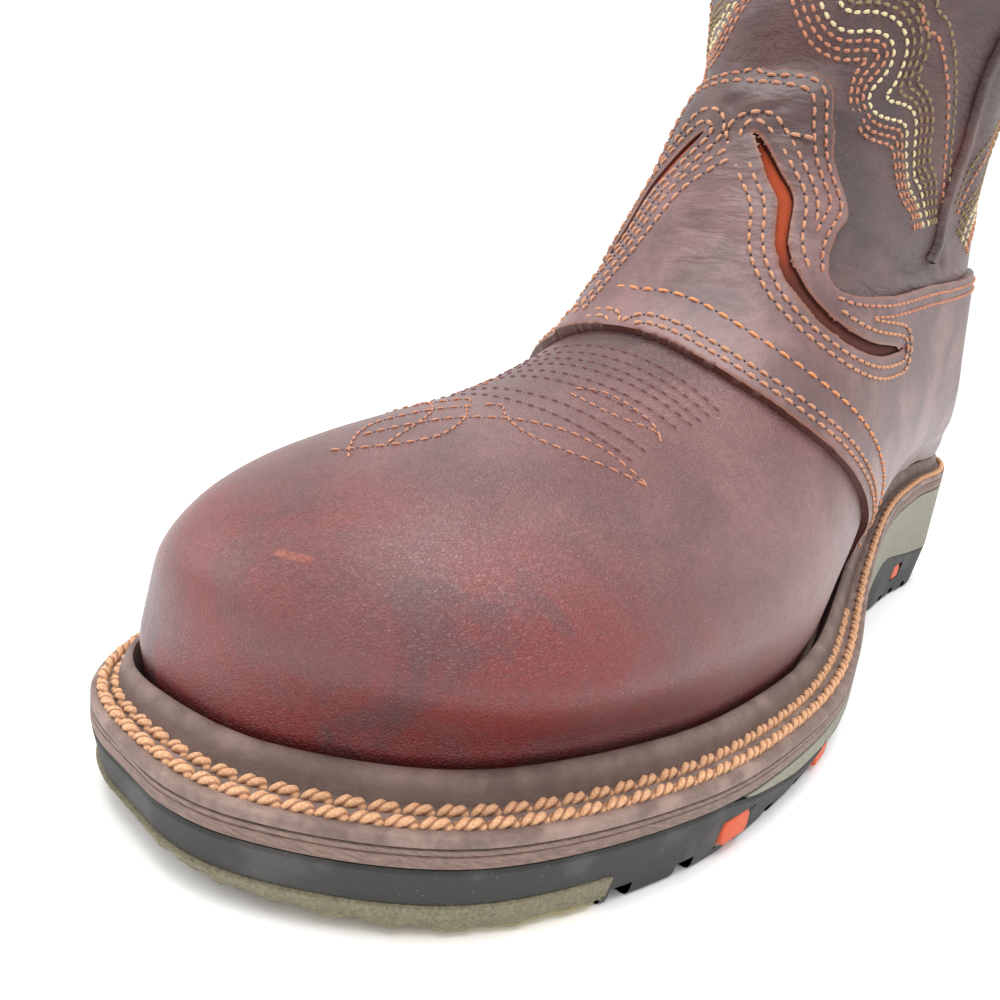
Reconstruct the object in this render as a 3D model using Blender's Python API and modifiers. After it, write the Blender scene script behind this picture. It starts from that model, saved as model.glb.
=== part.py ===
"""Western work boot, left foot, with a round safety toe.

The boot stands on the XY plane with its toe towards -Y, its outer side
towards +X and the origin under the middle of its box. The upper is one skin of
sections that fan from the toe over the instep to the collar. Every overlay is
laid on that skin, and every layer of the sole follows one outline.
"""
import math

import bpy
import bmesh
import numpy as np
from mathutils import Matrix, Vector
from mathutils.bvhtree import BVHTree

# Driving sizes, in metres
SOLE_LENGTH = 0.318
BALL_WIDTH = 0.1135
HEEL_SEAT = 0.040
INSTEP_HEIGHT = 0.100
SHAFT_HEIGHT = 0.322
TOE_SPRING = 0.003
SIDE_TAPER = 0.0030
TREAD_BEVEL = 0.0012
GAP = 0.0003
NEAR_GAP = 0.0007
CURVED_GAP = 0.0010
LEATHER = 0.0022
OVERLAY = 0.0018
MIDSOLE = 0.0032
WELT = 0.0020
EDGE = 0.0004
BEAD_HEIGHT = 0.0050
BEAD_WIDTH = 0.0027
FEATHER_INSET = 0.0115
HEEL_FEATHER_INSET = 0.0085
TOE_SHIFT = 0.0026
LEAN_HEIGHT = 0.012
SETTLE_HEIGHT = 0.022
SETTLE_FADE = 0.014
INSOLE = 0.0030
INSOLE_CLEAR = 0.0030
TREAD_DEPTH = 0.0030
TREAD_GROOVE = 0.0042
TREAD_PITCH = 0.0135
TREAD_SPANS = ((-0.690, -0.26), (0.535, 0.93))
GUM_THICKNESS = 0.0046
GUM_EDGE = -0.71
PLUG_LENGTH = 0.0090
PLUG_HEIGHT = 0.0048
PLUG_DEPTH = 0.0030
PLUG_PROUD = 0.0006
PLUG_SET = 0.0016
SLIT_WIDTH = 0.0034
SLIT_UNDERCUT = 0.0010
FLEX_PANEL = 0.0007
BINDING = 0.0012
BINDING_DROP = 0.0090
STRAP_WIDTH = 0.028
STRAP_THICKNESS = 0.0020
STRAP_LEG = 0.040
STRAP_RISE = 0.016
PIPING_WIDTH = 0.0036
PIPING_HEIGHT = 0.0012
HEEL_STRIP_WIDTH = 0.022
HEEL_STRIP = 0.0016
HEEL_STRIP_TOP = 1.26
HEEL_BACK = (-0.03, 0.97)

HALF_LENGTH = SOLE_LENGTH / 2
HALF_BALL = BALL_WIDTH / 2

# The sole's outline: shares of the half length and of half the ball width,
# from the heel's back along the outer side to the toe and back inside.
OUTLINE_COLUMNS = ("along", "across")
OUTLINE = (
    (1.000, -0.03), (0.943, 0.39), (0.780, 0.55), (0.591, 0.55),
    (0.346, 0.60), (0.101, 0.745), (-0.176, 0.955), (-0.415, 1.00),
    (-0.623, 0.94), (-0.843, 0.69), (-0.975, 0.235), (-1.000, -0.17),
    (-0.962, -0.575), (-0.811, -0.86), (-0.579, -1.00), (-0.346, -1.00),
    (-0.094, -0.805), (0.126, -0.61), (0.346, -0.58), (0.597, -0.65),
    (0.786, -0.65), (0.943, -0.455),
)
# Heights along the sole as shares of the heel seat: the midsole's underside,
# the foam wedge's underside and the tread's underside.
PROFILE_COLUMNS = ("along", "midsole", "wedge", "tread")
PROFILE = (
    (-1.00, 0.320, 0.320, 0.000), (-0.786, 0.315, 0.315, 0.000),
    (-0.56, 0.303, 0.303, 0.000), (-0.50, 0.298, 0.255, 0.000),
    (-0.40, 0.288, 0.195, 0.000), (-0.30, 0.285, 0.190, 0.000),
    (-0.18, 0.315, 0.195, 0.010), (0.00, 0.450, 0.235, 0.100),
    (0.19, 0.6625, 0.330, 0.190), (0.31, 0.785, 0.415, 0.220),
    (0.40, 0.850, 0.480, 0.200), (0.455, 0.878, 0.485, 0.000),
    (0.63, 0.9375, 0.400, 0.000), (1.00, 1.000, 0.360, 0.000),
)
# One row for each section of the upper. The front point lies on the ridge
# line: front is a share of the half length, instep and shaft are shares of the
# rise from the seat to the instep and of the rest of the shaft. The back point
# lies on the feather line, or up the heel by a share of the shaft. Middle and
# widths are shares of half the ball width. Belly is where the section is
# widest, from its back; round values are the exponents of its two halves.
SECTION_COLUMNS = (
    "front", "instep", "shaft", "back", "rise", "mid_front", "mid_back",
    "outer", "inner", "belly", "round_front", "round_back", "crown", "closed",
)
SECTIONS = (
    (-.930, .000, .000, -.592, .000, -.17, -.03, .790, .800, .00, 2.00, 2.00, .000, 0),
    (-.943, .103, .000, -.586, .000, -.17, -.03, .800, .815, .08, 2.00, 2.00, .000, 0),
    (-.950, .205, .000, -.580, .000, -.17, -.03, .820, .835, .16, 2.05, 2.05, .000, 0),
    (-.938, .315, .000, -.574, .000, -.16, -.03, .835, .850, .22, 2.10, 2.10, .000, 0),
    (-.890, .415, .000, -.568, .000, -.15, -.03, .850, .860, .25, 2.10, 2.10, .000, 0),
    (-.819, .490, .000, -.560, .000, -.13, -.02, .862, .866, .26, 2.10, 2.10, .000, 0),
    (-.725, .545, .000, -.530, .000, -.12, -.01, .872, .868, .26, 2.10, 2.10, .000, 0),
    (-.618, .590, .000, -.490, .000, -.10, -.01, .876, .868, .26, 2.10, 2.10, .000, 0),
    (-.505, .640, .000, -.430, .000, -.08, .000, .876, .860, .26, 2.05, 2.05, .000, 0),
    (-.400, .718, .000, -.330, .000, -.07, .000, .866, .830, .26, 2.00, 2.00, .000, 0),
    (-.310, .825, .000, -.200, .000, -.06, .010, .840, .790, .26, 1.95, 2.00, .000, 0),
    (-.240, .935, .022, -.050, .000, -.05, .020, .780, .740, .28, 1.95, 2.00, .000, 0),
    (-.188, 1.00, .075, 0.126, .000, -.04, .020, .710, .680, .33, 2.00, 2.00, .000, 0),
    (-.156, 1.00, .124, 0.346, .000, -.03, .010, .665, .655, .38, 2.05, 2.00, .000, 0),
    (-.147, 1.00, .144, 0.475, .000, -.03, .010, .652, .650, .40, 2.08, 2.00, .000, 0),
    (-.138, 1.00, .164, 0.597, .000, -.02, .000, .640, .645, .42, 2.10, 2.00, .000, 0),
    (-.124, 1.00, .198, 0.800, .000, -.01, -.02, .625, .640, .45, 2.10, 2.00, .000, 0),
    (-.116, 1.00, .222, 0.915, .000, .000, -.04, .618, .640, .47, 2.10, 1.95, .000, 0),
    (-.110, 1.00, .240, 0.946, .000, .000, -.04, .612, .635, .48, 2.10, 1.90, .000, 1),
    (-.104, 1.00, .262, 0.958, .035, .000, -.04, .606, .630, .51, 2.10, 1.80, .000, 1),
    (-.097, 1.00, .288, 0.958, .090, .000, -.04, .600, .625, .54, 2.10, 1.68, .000, 1),
    (-.088, 1.00, .315, 0.938, .160, .000, -.03, .605, .625, .58, 2.10, 1.52, .000, 1),
    (-.081, 1.00, .345, 0.900, .235, .000, -.02, .635, .640, .62, 2.10, 1.42, .000, 1),
    (-.076, 1.00, .382, 0.865, .320, .010, -.01, .680, .670, .64, 2.10, 1.45, .000, 1),
    (-.076, 1.00, .435, 0.842, .412, .020, .000, .730, .710, .63, 2.05, 1.60, .000, 1),
    (-.082, 1.00, .523, 0.832, .515, .020, .000, .775, .750, .58, 2.00, 1.78, .020, 1),
    (-.093, 1.00, .655, 0.830, .650, .020, .000, .810, .785, .54, 2.00, 1.90, .030, 1),
    (-.105, 1.00, .820, 0.833, .800, .020, .020, .835, .815, .52, 2.00, 1.95, .045, 1),
    (-.112, 1.00, 1.00, 0.838, .950, .020, .020, .845, .830, .51, 2.00, 2.00, .060, 1),
)
# Side view of the quarter overlay: along as shares of the half length, up as
# shares of the instep's height.
QUARTER_COLUMNS = ("along", "up")
QUARTER_FRONT = (
    (-.380, .990), (-.345, .880), (-.328, .822), (-.322, .784), (-.301, .740),
    (-.253, .681), (-.172, .609), (-.106, .550), (-.064, .510), (.013, .420),
    (.088, .250),
)
QUARTER_TOP = (
    (1.10, 1.19), (.630, 1.13), (.348, 1.06), (.175, 1.02), (.002, .975),
    (-.099, .962), (-.133, .980), (-.126, 1.04), (-.103, 1.09), (-.076, 1.14),
    (-.084, 1.25), (-.077, 1.41), (-.124, 1.43), (-.300, 1.43),
)
# The slit down the ankle: across as shares of half the ball width, along and
# up as above, and its width as a share of the widest.
SLIT_COLUMNS = ("across", "along", "up", "wide")
SLIT = (
    (.100, -.147, 1.283, .25), (.151, -.150, 1.244, .65), (.218, -.154, 1.191, 1.0),
    (.280, -.155, 1.145, .90), (.305, -.167, 1.095, .80), (.332, -.179, 1.041, .95),
    (.384, -.182, .990, 1.0), (.452, -.177, .941, 1.0), (.525, -.157, .901, .95),
    (.594, -.114, .867, .85), (.634, -.041, .851, .70), (.643, .070, .860, .25),
)
# Middle of the side seam's piping: along and up as above.
PIPING = (
    (.215, 1.09), (.236, 1.25), (.253, 1.37), (.250, 1.47), (.234, 1.55),
    (.226, 1.65), (.232, 1.85), (.252, 2.25), (.275, 2.66),
)
# Accent plugs: along as a share of the half length, and the height of their
# middle as a share of the heel seat.
PLUGS = ((-.53, .125), (-.265, .100), (.60, .25))

SKIN_AROUND = 30
SKIN_CROWD = 0.45
OUTLINE_STEPS = 3
SLIVER = 0.00003
COLLECTION = "western_work_boot"


def spline(points, steps, closed):
    """Points along a smooth curve through the given ones (Catmull-Rom)."""
    p = np.asarray(points, float)
    n = len(p)
    count = n * steps if closed else (n - 1) * steps + 1
    t = np.arange(count) / steps
    k = np.minimum(t.astype(int), n - 1 if closed else n - 2)
    f = (t - k)[:, None]
    if closed:
        a, b, c, d = (p[(k + i) % n] for i in (-1, 0, 1, 2))
    else:
        e = np.vstack([2 * p[0] - p[1], p, 2 * p[-1] - p[-2]])
        a, b, c, d = (e[k + i] for i in range(4))
    return .5 * (2 * b + (c - a) * f + (2 * a - 5 * b + 4 * c - d) * f ** 2
                 + (3 * b - a - 3 * c + d) * f ** 3)


def outline(steps=OUTLINE_STEPS):
    """The sole's outline as x, y, from the heel's back to the outer side."""
    s = spline(OUTLINE, steps, True)
    loop = np.stack([s[:, 1] * HALF_BALL, s[:, 0] * HALF_LENGTH], 1)
    return loop - (loop.min(0) + loop.max(0)) / 2


def inset(loop, depth):
    """The outline moved inwards by a depth, one for all or one a point."""
    ahead = np.roll(loop, -1, 0) - np.roll(loop, 1, 0)
    ahead /= np.linalg.norm(ahead, axis=1)[:, None]
    inward = np.stack([ahead[:, 1], -ahead[:, 0]], 1)
    if np.sum(loop * inward) > 0:
        inward = -inward
    return loop + inward * np.broadcast_to(depth, (len(loop),))[:, None]


def profile(y, column):
    """Height of one line of the sole's side at y."""
    table = np.asarray(PROFILE)
    xs = table[:, 0]
    ys = table[:, PROFILE_COLUMNS.index(column)]
    at = np.clip(np.asarray(y, float) / HALF_LENGTH, xs[0], xs[-1])
    return np.interp(at, xs, ys) * HEEL_SEAT


def tread(y):
    """Underside of the tread, with the toe lifted by its spring."""
    lift = np.clip((-np.asarray(y, float) / HALF_LENGTH - 0.76) / 0.24, 0, 1)
    return profile(y, "tread") + TOE_SPRING * lift ** 2


def midsole_top(y):
    return profile(y, "midsole") + MIDSOLE


def seat(y):
    """Height at which the foot of the upper stands."""
    return midsole_top(y) + 2 * GAP


def smooth(share):
    """A soft step from 0 to 1."""
    share = np.clip(share, 0, 1)
    return share * share * (3 - 2 * share)


def feather_inset(spots, height):
    """How far the leather stands in from the outline at a height over its seat:
    less at the heel, and less where the toe is shifted inwards."""
    across = spots[:, 0] / HALF_BALL
    along = spots[:, 1] / HALF_LENGTH
    back = smooth((along + 0.25) / 0.6)
    foot = FEATHER_INSET + (HEEL_FEATHER_INSET - FEATHER_INSET) * back
    foot = foot - TOE_SHIFT * smooth((-along - 0.60) / 0.30) * smooth((0.15 - across) / 0.60)
    lean = 0.24 + 0.14 * back
    rise = np.clip(height, 0, LEAN_HEIGHT)
    return foot - lean * rise * (1 - 25 * rise)


def feather_x(y, side):
    """Where the feather line lies across at y, on the outer or inner side."""
    loop = outline(6)
    line = inset(loop, feather_inset(loop, 0.0))
    half = len(line) // 2
    if side > 0:
        run = line[:half + 1]
    else:
        run = np.vstack([line[half:], line[:1]])
    order = np.argsort(run[:, 1])
    return np.interp(y, run[order, 1], run[order, 0])


def section_rows(per_row):
    """The rows of the sections' table, with smooth rows between them."""
    rows = spline(SECTIONS, per_row, False)
    closed = SECTION_COLUMNS.index("closed")
    belly = SECTION_COLUMNS.index("belly")
    flags = np.asarray(SECTIONS)[:, closed]
    rows[:, closed] = np.repeat(flags, per_row)[:len(rows)]
    rows[:, belly] = np.maximum(rows[:, belly], 0)
    return rows


def section_side(row, side, around):
    """One half of each section as points from the front to the back.

    A half is two quarters of a superellipse, widest at the belly. An open
    section stops where it meets the feather line.
    """
    c = {name: row[:, i:i + 1] for i, name in enumerate(SECTION_COLUMNS)}
    front_y = c["front"] * HALF_LENGTH
    shaft = SHAFT_HEIGHT - INSTEP_HEIGHT
    front_z = seat(front_y) + c["instep"] * (INSTEP_HEIGHT - seat(front_y)) + c["shaft"] * shaft
    back_y = c["back"] * HALF_LENGTH
    back_z = seat(back_y) + c["rise"] * (SHAFT_HEIGHT - HEEL_SEAT)
    reach = np.hypot(front_y - back_y, front_z - back_z)
    widest = c["belly"] * reach
    wide = side * c["outer" if side > 0 else "inner"] * HALF_BALL
    middle = c["mid_back"] * HALF_BALL
    foot = feather_x(back_y, side)
    share = np.clip((foot - middle) / (wide - middle), 0, 0.999) * (1 - c["closed"])
    flat = c["belly"] < 1e-3
    stop = np.where(flat, math.pi / 2, np.arcsin(share ** (c["round_back"] / 2)))
    angle = math.pi + (stop - math.pi) * np.linspace(0, 1, 121)[None]
    cosine = np.cos(angle)
    power = np.where(cosine < 0, c["round_front"], c["round_back"])
    bulge = np.abs(cosine) ** (2 / power)
    short = np.maximum(np.abs(np.cos(stop)) ** (2 / c["round_back"]), 1e-6)
    low = np.where(flat, widest, widest / short)
    along = np.where(cosine < 0, widest + bulge * (reach - widest), widest - bulge * low)
    q = along / reach
    ridge = (c["mid_back"] + (c["mid_front"] - c["mid_back"]) * q) * HALF_BALL
    x = ridge + (wide - ridge) * np.abs(np.sin(angle)) ** (2 / power)
    y = back_y + (front_y - back_y) * q
    z = back_z + (front_z - back_z) * q + c["crown"] * SHAFT_HEIGHT * 4 * q * (1 - q)
    points = np.stack([x, y, z], -1)
    steps = np.linalg.norm(np.diff(points, axis=1), axis=2)
    run = np.concatenate([np.zeros((len(row), 1)), np.cumsum(steps, 1)], 1)
    run /= run[:, -1:]
    even = np.linspace(0, 1, around + 1)
    share_at = even - SKIN_CROWD * np.sin(2 * math.pi * even) / (2 * math.pi)
    return np.array([[np.interp(share_at, run[i], points[i, :, k]) for k in range(3)]
                     for i in range(len(row))]).transpose(0, 2, 1)


def settle(grid):
    """Moves the foot of the upper onto the feather line, fading upwards."""
    points = grid.reshape(-1, 3).copy()
    start = outline(6)
    edge = np.roll(start, -1, 0) - start
    height = points[:, 2] - seat(points[:, 1])
    fade = smooth((SETTLE_HEIGHT - height) / SETTLE_FADE)
    from_start = points[:, None, :2] - start[None]
    along = (from_start * edge[None]).sum(2) / (edge ** 2).sum(1)[None]
    nearest = start[None] + np.clip(along, 0, 1)[..., None] * edge[None]
    away = points[:, None, :2] - nearest
    distance = np.linalg.norm(away, axis=2)
    pick = distance.argmin(1)
    index = np.arange(len(points))
    depth = distance[index, pick]
    inward = away[index, pick] / np.maximum(depth, 1e-9)[:, None]
    move = (feather_inset(points[:, :2], height) - depth) * fade
    points[:, :2] += inward * move[:, None]
    return points.reshape(grid.shape)


def skin_grid(per_row=1, around=SKIN_AROUND // 2):
    """The upper's outer skin as a grid: sections by points from side to side."""
    rows = section_rows(per_row)
    inner = section_side(rows, -1, around)
    outer = section_side(rows, 1, around)
    return settle(np.concatenate([inner[:, :0:-1], outer], 1))


def new_object(name, mesh, collection):
    obj = bpy.data.objects.new(name, mesh)
    collection.objects.link(obj)
    return obj


def mesh_from(name, points, faces, weld=1e-6):
    """A mesh of points and faces, with doubles merged and faces facing out."""
    bm = bmesh.new()
    made = [bm.verts.new(p) for p in points]
    for face in faces:
        corners = [made[i] for i in face]
        bm.faces.new(corners)
    bmesh.ops.remove_doubles(bm, verts=bm.verts, dist=weld)
    bmesh.ops.dissolve_degenerate(bm, edges=bm.edges, dist=weld)
    bmesh.ops.recalc_face_normals(bm, faces=bm.faces)
    mesh = bpy.data.meshes.new(name)
    bm.to_mesh(mesh)
    bm.free()
    return mesh


def grid_triangles(rows, columns):
    """Two triangles for each cell of a grid, all split the same way."""
    faces = []
    for a, b, c, d in grid_faces(rows, columns):
        faces += [(a, b, c), (a, c, d)]
    return faces


def grid_faces(rows, columns, ring=False):
    """Quads of a grid of points, closed on itself along its columns or not."""
    faces = []
    for i in range(rows - 1):
        for j in range(columns if ring else columns - 1):
            k = (j + 1) % columns
            faces.append((i * columns + j, i * columns + k,
                          (i + 1) * columns + k, (i + 1) * columns + j))
    return faces


def skin_mesh(name):
    """The open outer skin, with its back seam welded and its faces out."""
    grid = skin_grid()
    rows, columns = grid.shape[:2]
    mesh = mesh_from(name, grid.reshape(-1, 3), grid_triangles(rows, columns), 1e-5)
    middle = Vector((0.0, 0.4 * HALF_LENGTH, 0.6 * SHAFT_HEIGHT))
    widest = max(mesh.polygons, key=lambda face: face.center.x)
    if widest.normal.dot(widest.center - middle) < 0:
        mesh.flip_normals()
    return mesh


def apply_modifiers(obj):
    """Bakes an object's modifiers into its mesh."""
    graph = bpy.context.evaluated_depsgraph_get()
    mesh = bpy.data.meshes.new_from_object(obj.evaluated_get(graph))
    bm = bmesh.new()
    bm.from_mesh(mesh)
    bmesh.ops.triangulate(bm, faces=bm.faces)
    bmesh.ops.remove_doubles(bm, verts=bm.verts, dist=SLIVER)
    bmesh.ops.dissolve_degenerate(bm, edges=bm.edges, dist=SLIVER)
    bmesh.ops.triangulate(bm, faces=bm.faces)
    bm.to_mesh(mesh)
    bm.free()
    obj.modifiers.clear()
    obj.data = mesh


def boolean(obj, cutter, operation="DIFFERENCE"):
    modifier = obj.modifiers.new(cutter.name, "BOOLEAN")
    modifier.operation = operation
    modifier.solver = "EXACT"
    modifier.object = cutter


def shell(name, collection, low, high):
    """A closed wall along the skin, between two heights over it."""
    skin = skin_mesh(f"{name}_skin")
    faces = [tuple(face.vertices) for face in skin.polygons]
    sides = {pair for face in faces for pair in zip(face, face[1:] + face[:1])}
    open_sides = [(a, b) for a, b in sides if (b, a) not in sides]
    edge = {a for a, _ in open_sides}
    spots = []
    for v in skin.vertices:
        level = Vector((v.normal.x, v.normal.y, 0)).normalized()
        spots.append((v.co.copy(), level if v.index in edge else v.normal.copy()))
    points = [p + n * high for p, n in spots] + [p + n * low for p, n in spots]
    count = len(spots)
    rim = [(b, a, a + count, b + count) for a, b in sorted(open_sides)]
    faces += [tuple(i + count for i in reversed(face)) for face in faces] + rim
    bpy.data.meshes.remove(skin)
    return new_object(name, mesh_from(name, points, faces), collection)


def side_prism(name, points, collection):
    """A side view outline carried across the whole boot."""
    reach = BALL_WIDTH
    bm = bmesh.new()
    face = bm.faces.new([bm.verts.new((-reach, y, z)) for y, z in points])
    side = bmesh.ops.extrude_face_region(bm, geom=[face])
    moved = [g for g in side["geom"] if isinstance(g, bmesh.types.BMVert)]
    bmesh.ops.translate(bm, verts=moved, vec=(2 * reach, 0, 0))
    bmesh.ops.recalc_face_normals(bm, faces=bm.faces)
    mesh = bpy.data.meshes.new(name)
    bm.to_mesh(mesh)
    bm.free()
    return cutter_object(name, mesh, collection)


def cutter_object(name, mesh, collection):
    obj = new_object(name, mesh, collection)
    obj.hide_render = True
    obj.display_type = "WIRE"
    return obj


def lean_on(tree, normals, faces, point):
    """The nearest place on the skin, with the smooth normal there."""
    place, _, index, _ = tree.find_nearest(Vector(point))
    total = Vector()
    for corner in faces[index]:
        spot, normal = normals[corner]
        total += normal / ((spot - place).length + 1e-5)
    return place, total.normalized()


def skin_guide():
    """What overlays need to lie on the skin: its tree, normals and faces."""
    mesh = skin_mesh("skin_guide")
    normals = [(v.co.copy(), v.normal.copy()) for v in mesh.vertices]
    faces = [tuple(face.vertices) for face in mesh.polygons]
    tree = BVHTree.FromPolygons([v.co for v in mesh.vertices], faces)
    bpy.data.meshes.remove(mesh)
    return tree, normals, faces


def ribbon(name, guide, path, widths, low, high, across=3, steps=4):
    """A strip laid on the skin along a path, from one height to another."""
    line = spline(path, steps, False)
    wide = np.interp(np.linspace(0, 1, len(line)), np.linspace(0, 1, len(widths)), widths)
    points = []
    for i, spot in enumerate(line):
        place, normal = lean_on(*guide, spot)
        ahead = Vector(line[min(i + 1, len(line) - 1)] - line[max(i - 1, 0)])
        aside = ahead.cross(normal).normalized()
        ring = []
        for share in np.linspace(-0.5, 0.5, across):
            ring.append(lean_on(*guide, place + aside * share * wide[i]))
        points += [p + n * low for p, n in ring]
        points += [p + n * high for p, n in reversed(ring)]
    count = 2 * across
    faces = grid_faces(len(line), count, ring=True)
    last = (len(line) - 1) * count
    for k in range(across - 1):
        faces.append((k, k + 1, count - 2 - k, count - 1 - k))
        faces.append((last + k, last + k + 1, last + count - 2 - k, last + count - 1 - k))
    return mesh_from(name, points, faces)


def slab(name, levels, first=None, last=None):
    """A layer of the sole: loops from bottom to top, capped by rungs across.

    Each level is an inset and a function that gives the height at y.
    """
    loop = outline()
    half = len(loop) // 2
    front = half if last is None else last
    back = 0 if first is None else first
    outer = list(range(back, front + 1))
    inner = [(len(loop) - i) % len(loop) for i in outer]
    if front == half:
        inner = inner[:-1]
    if back == 0:
        inner = inner[1:]
    order = outer + inner[::-1]
    points = []
    for depth, height in levels:
        ring = inset(loop, depth)[order]
        z = height(ring[:, 1])
        points.append(np.column_stack([ring, z]))
    count = len(order)
    faces = grid_faces(len(levels), count, ring=True)
    for level in (0, len(levels) - 1):
        base = level * count
        pairs = [(base + i, base + count - 1 - i + (1 if back == 0 else 0))
                 for i in range(len(outer))]
        pairs = [(a, base if b >= base + count else b) for a, b in pairs]
        for (a, b), (c, d) in zip(pairs, pairs[1:]):
            corners = []
            for corner in (a, c, d, b):
                if corner not in corners:
                    corners.append(corner)
            if len(corners) > 2:
                faces.append(tuple(corners))
    triangles = []
    for first_corner, *rest in faces:
        triangles += [(first_corner, a, b) for a, b in zip(rest, rest[1:])]
    return mesh_from(name, np.concatenate(points), triangles)


def outline_index(along):
    """The rung of the outline that lies nearest a share of the half length."""
    loop = outline()
    half = len(loop) // 2
    return int(np.argmin(np.abs(loop[:half + 1, 1] - along * HALF_LENGTH)))


def box_mesh(name, size, matrix):
    bm = bmesh.new()
    bmesh.ops.create_cube(bm, size=1.0)
    bmesh.ops.scale(bm, vec=size, verts=bm.verts)
    bmesh.ops.transform(bm, matrix=matrix, verts=bm.verts)
    mesh = bpy.data.meshes.new(name)
    bm.to_mesh(mesh)
    bm.free()
    return mesh


def plug_places():
    """Where each plug sits: its middle on the outline and the way it faces."""
    loop = outline()
    half = len(loop) // 2
    places = []
    for along, up in PLUGS:
        for side in (1, -1):
            run = loop[:half] if side > 0 else loop[half:]
            k = int(np.argmin(np.abs(run[:, 1] - along * HALF_LENGTH)))
            k = min(max(k, 1), len(run) - 2)
            ahead = Vector((*(run[k + 1] - run[k - 1]), 0)).normalized()
            out = Vector((ahead.y, -ahead.x, 0))
            if out.x * side < 0:
                out = -out
            middle = Vector((run[k][0], run[k][1], up * HEEL_SEAT))
            turn = Matrix((ahead, out, Vector((0, 0, 1)))).transposed().to_4x4()
            places.append((middle, out, turn))
    return places


def make_outsole(parts, cutters):
    def top(y):
        under = np.minimum(profile(y, "midsole"), profile(y, "wedge"))
        return under - GAP
    levels = ((SIDE_TAPER, tread), (0.7 * SIDE_TAPER, lambda y: tread(y) + TREAD_BEVEL), (0.0, top))
    outsole = new_object("outsole", slab("outsole", levels), parts)
    gum = new_object("toe_bumper", slab("toe_bumper", levels), parts)
    reach = HALF_LENGTH + BALL_WIDTH
    edge = GUM_EDGE * HALF_LENGTH
    low = -GUM_THICKNESS
    for obj, name, spare in ((outsole, "gum_space", GAP), (gum, "gum_form", 0.0)):
        outline_points = (
            (-reach, low), (edge + spare, low), (edge + spare, GUM_THICKNESS + spare),
            (-reach, GUM_THICKNESS + TOE_SPRING + spare),
        )
        cutter = side_prism(name, outline_points, cutters)
        boolean(obj, cutter, "DIFFERENCE" if obj is outsole else "INTERSECT")
    grooves = []
    for start, stop in TREAD_SPANS:
        count = int((stop - start) * HALF_LENGTH / TREAD_PITCH)
        for k in range(count + 1):
            grooves.append(start * HALF_LENGTH + k * TREAD_PITCH)
    for number, y in enumerate(grooves):
        size = (2 * BALL_WIDTH, TREAD_GROOVE, 2 * TREAD_DEPTH)
        groove = box_mesh(f"tread_groove_{number}", size, Matrix.Translation((0, y, 0)))
        boolean(outsole, cutter_object(f"tread_groove_{number}", groove, cutters))
    for number, (middle, out, turn) in enumerate(plug_places(), 1):
        depth = PLUG_DEPTH + PLUG_PROUD
        centre = middle + out * (PLUG_PROUD - PLUG_SET - depth / 2)
        place = Matrix.Translation(centre) @ turn
        size = (PLUG_LENGTH, depth, PLUG_HEIGHT)
        opening = depth + 2 * GAP + 2 * PLUG_SET
        room = (PLUG_LENGTH + 2 * GAP, opening, PLUG_HEIGHT + 2 * GAP)
        mouth = Matrix.Translation(centre + out * PLUG_SET) @ turn
        pocket = box_mesh(f"plug_pocket_{number}", room, mouth)
        boolean(outsole, cutter_object(f"plug_pocket_{number}", pocket, cutters))
        plug = box_mesh(f"accent_plug_{number}", size, place)
        new_object(f"accent_plug_{number}", plug, parts)
    apply_modifiers(outsole)
    apply_modifiers(gum)
    return outsole, gum


def make_wedge(parts):
    start = outline_index(-0.53)
    levels = ((0.0, lambda y: profile(y, "wedge")),
              (0.0, lambda y: profile(y, "midsole") - GAP))
    return new_object("foam_wedge", slab("foam_wedge", levels, 0, start), parts)


def make_midsole(parts):
    def low(y):
        return profile(y, "midsole")
    levels = ((EDGE, low), (0.0, lambda y: low(y) + EDGE), (0.0, midsole_top))
    return new_object("midsole", slab("midsole", levels), parts)


def make_welt(parts):
    """The welt is a ring whose inner edge stands up as a bead."""
    loop = outline()
    y = loop[:, 1]
    clear = CURVED_GAP
    top = WELT + BEAD_HEIGHT
    crest = feather_inset(loop, top) - clear
    corners = (
        (0.0 * y, GAP), (0.0 * y, WELT - EDGE), (EDGE + 0.0 * y, WELT),
        (crest - BEAD_WIDTH, WELT), (crest - 0.8 * BEAD_WIDTH, WELT + 0.55 * BEAD_HEIGHT),
        (crest - 0.45 * BEAD_WIDTH, top - 1.5 * EDGE), (crest, top),
        (feather_inset(loop, 0.5 * top) - clear, 0.5 * top),
        (feather_inset(loop, 0.0) - clear, GAP),
    )
    points = []
    for depth, rise in corners:
        ring = inset(loop, depth)
        points.append(np.column_stack([ring, midsole_top(y) + rise]))
    count = len(loop)
    faces = grid_faces(len(corners), count, ring=True)
    top_ring = (len(corners) - 1) * count
    for j in range(count):
        k = (j + 1) % count
        faces.append((top_ring + j, top_ring + k, k, j))
    return new_object("welt", mesh_from("welt", np.concatenate(points), faces), parts)


def make_insole(parts):
    depth = feather_inset(outline(), 0.0) + LEATHER + INSOLE_CLEAR
    levels = ((depth, lambda y: seat(y)), (depth, lambda y: seat(y) + INSOLE))
    return new_object("insole", slab("insole", levels), parts)


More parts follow.
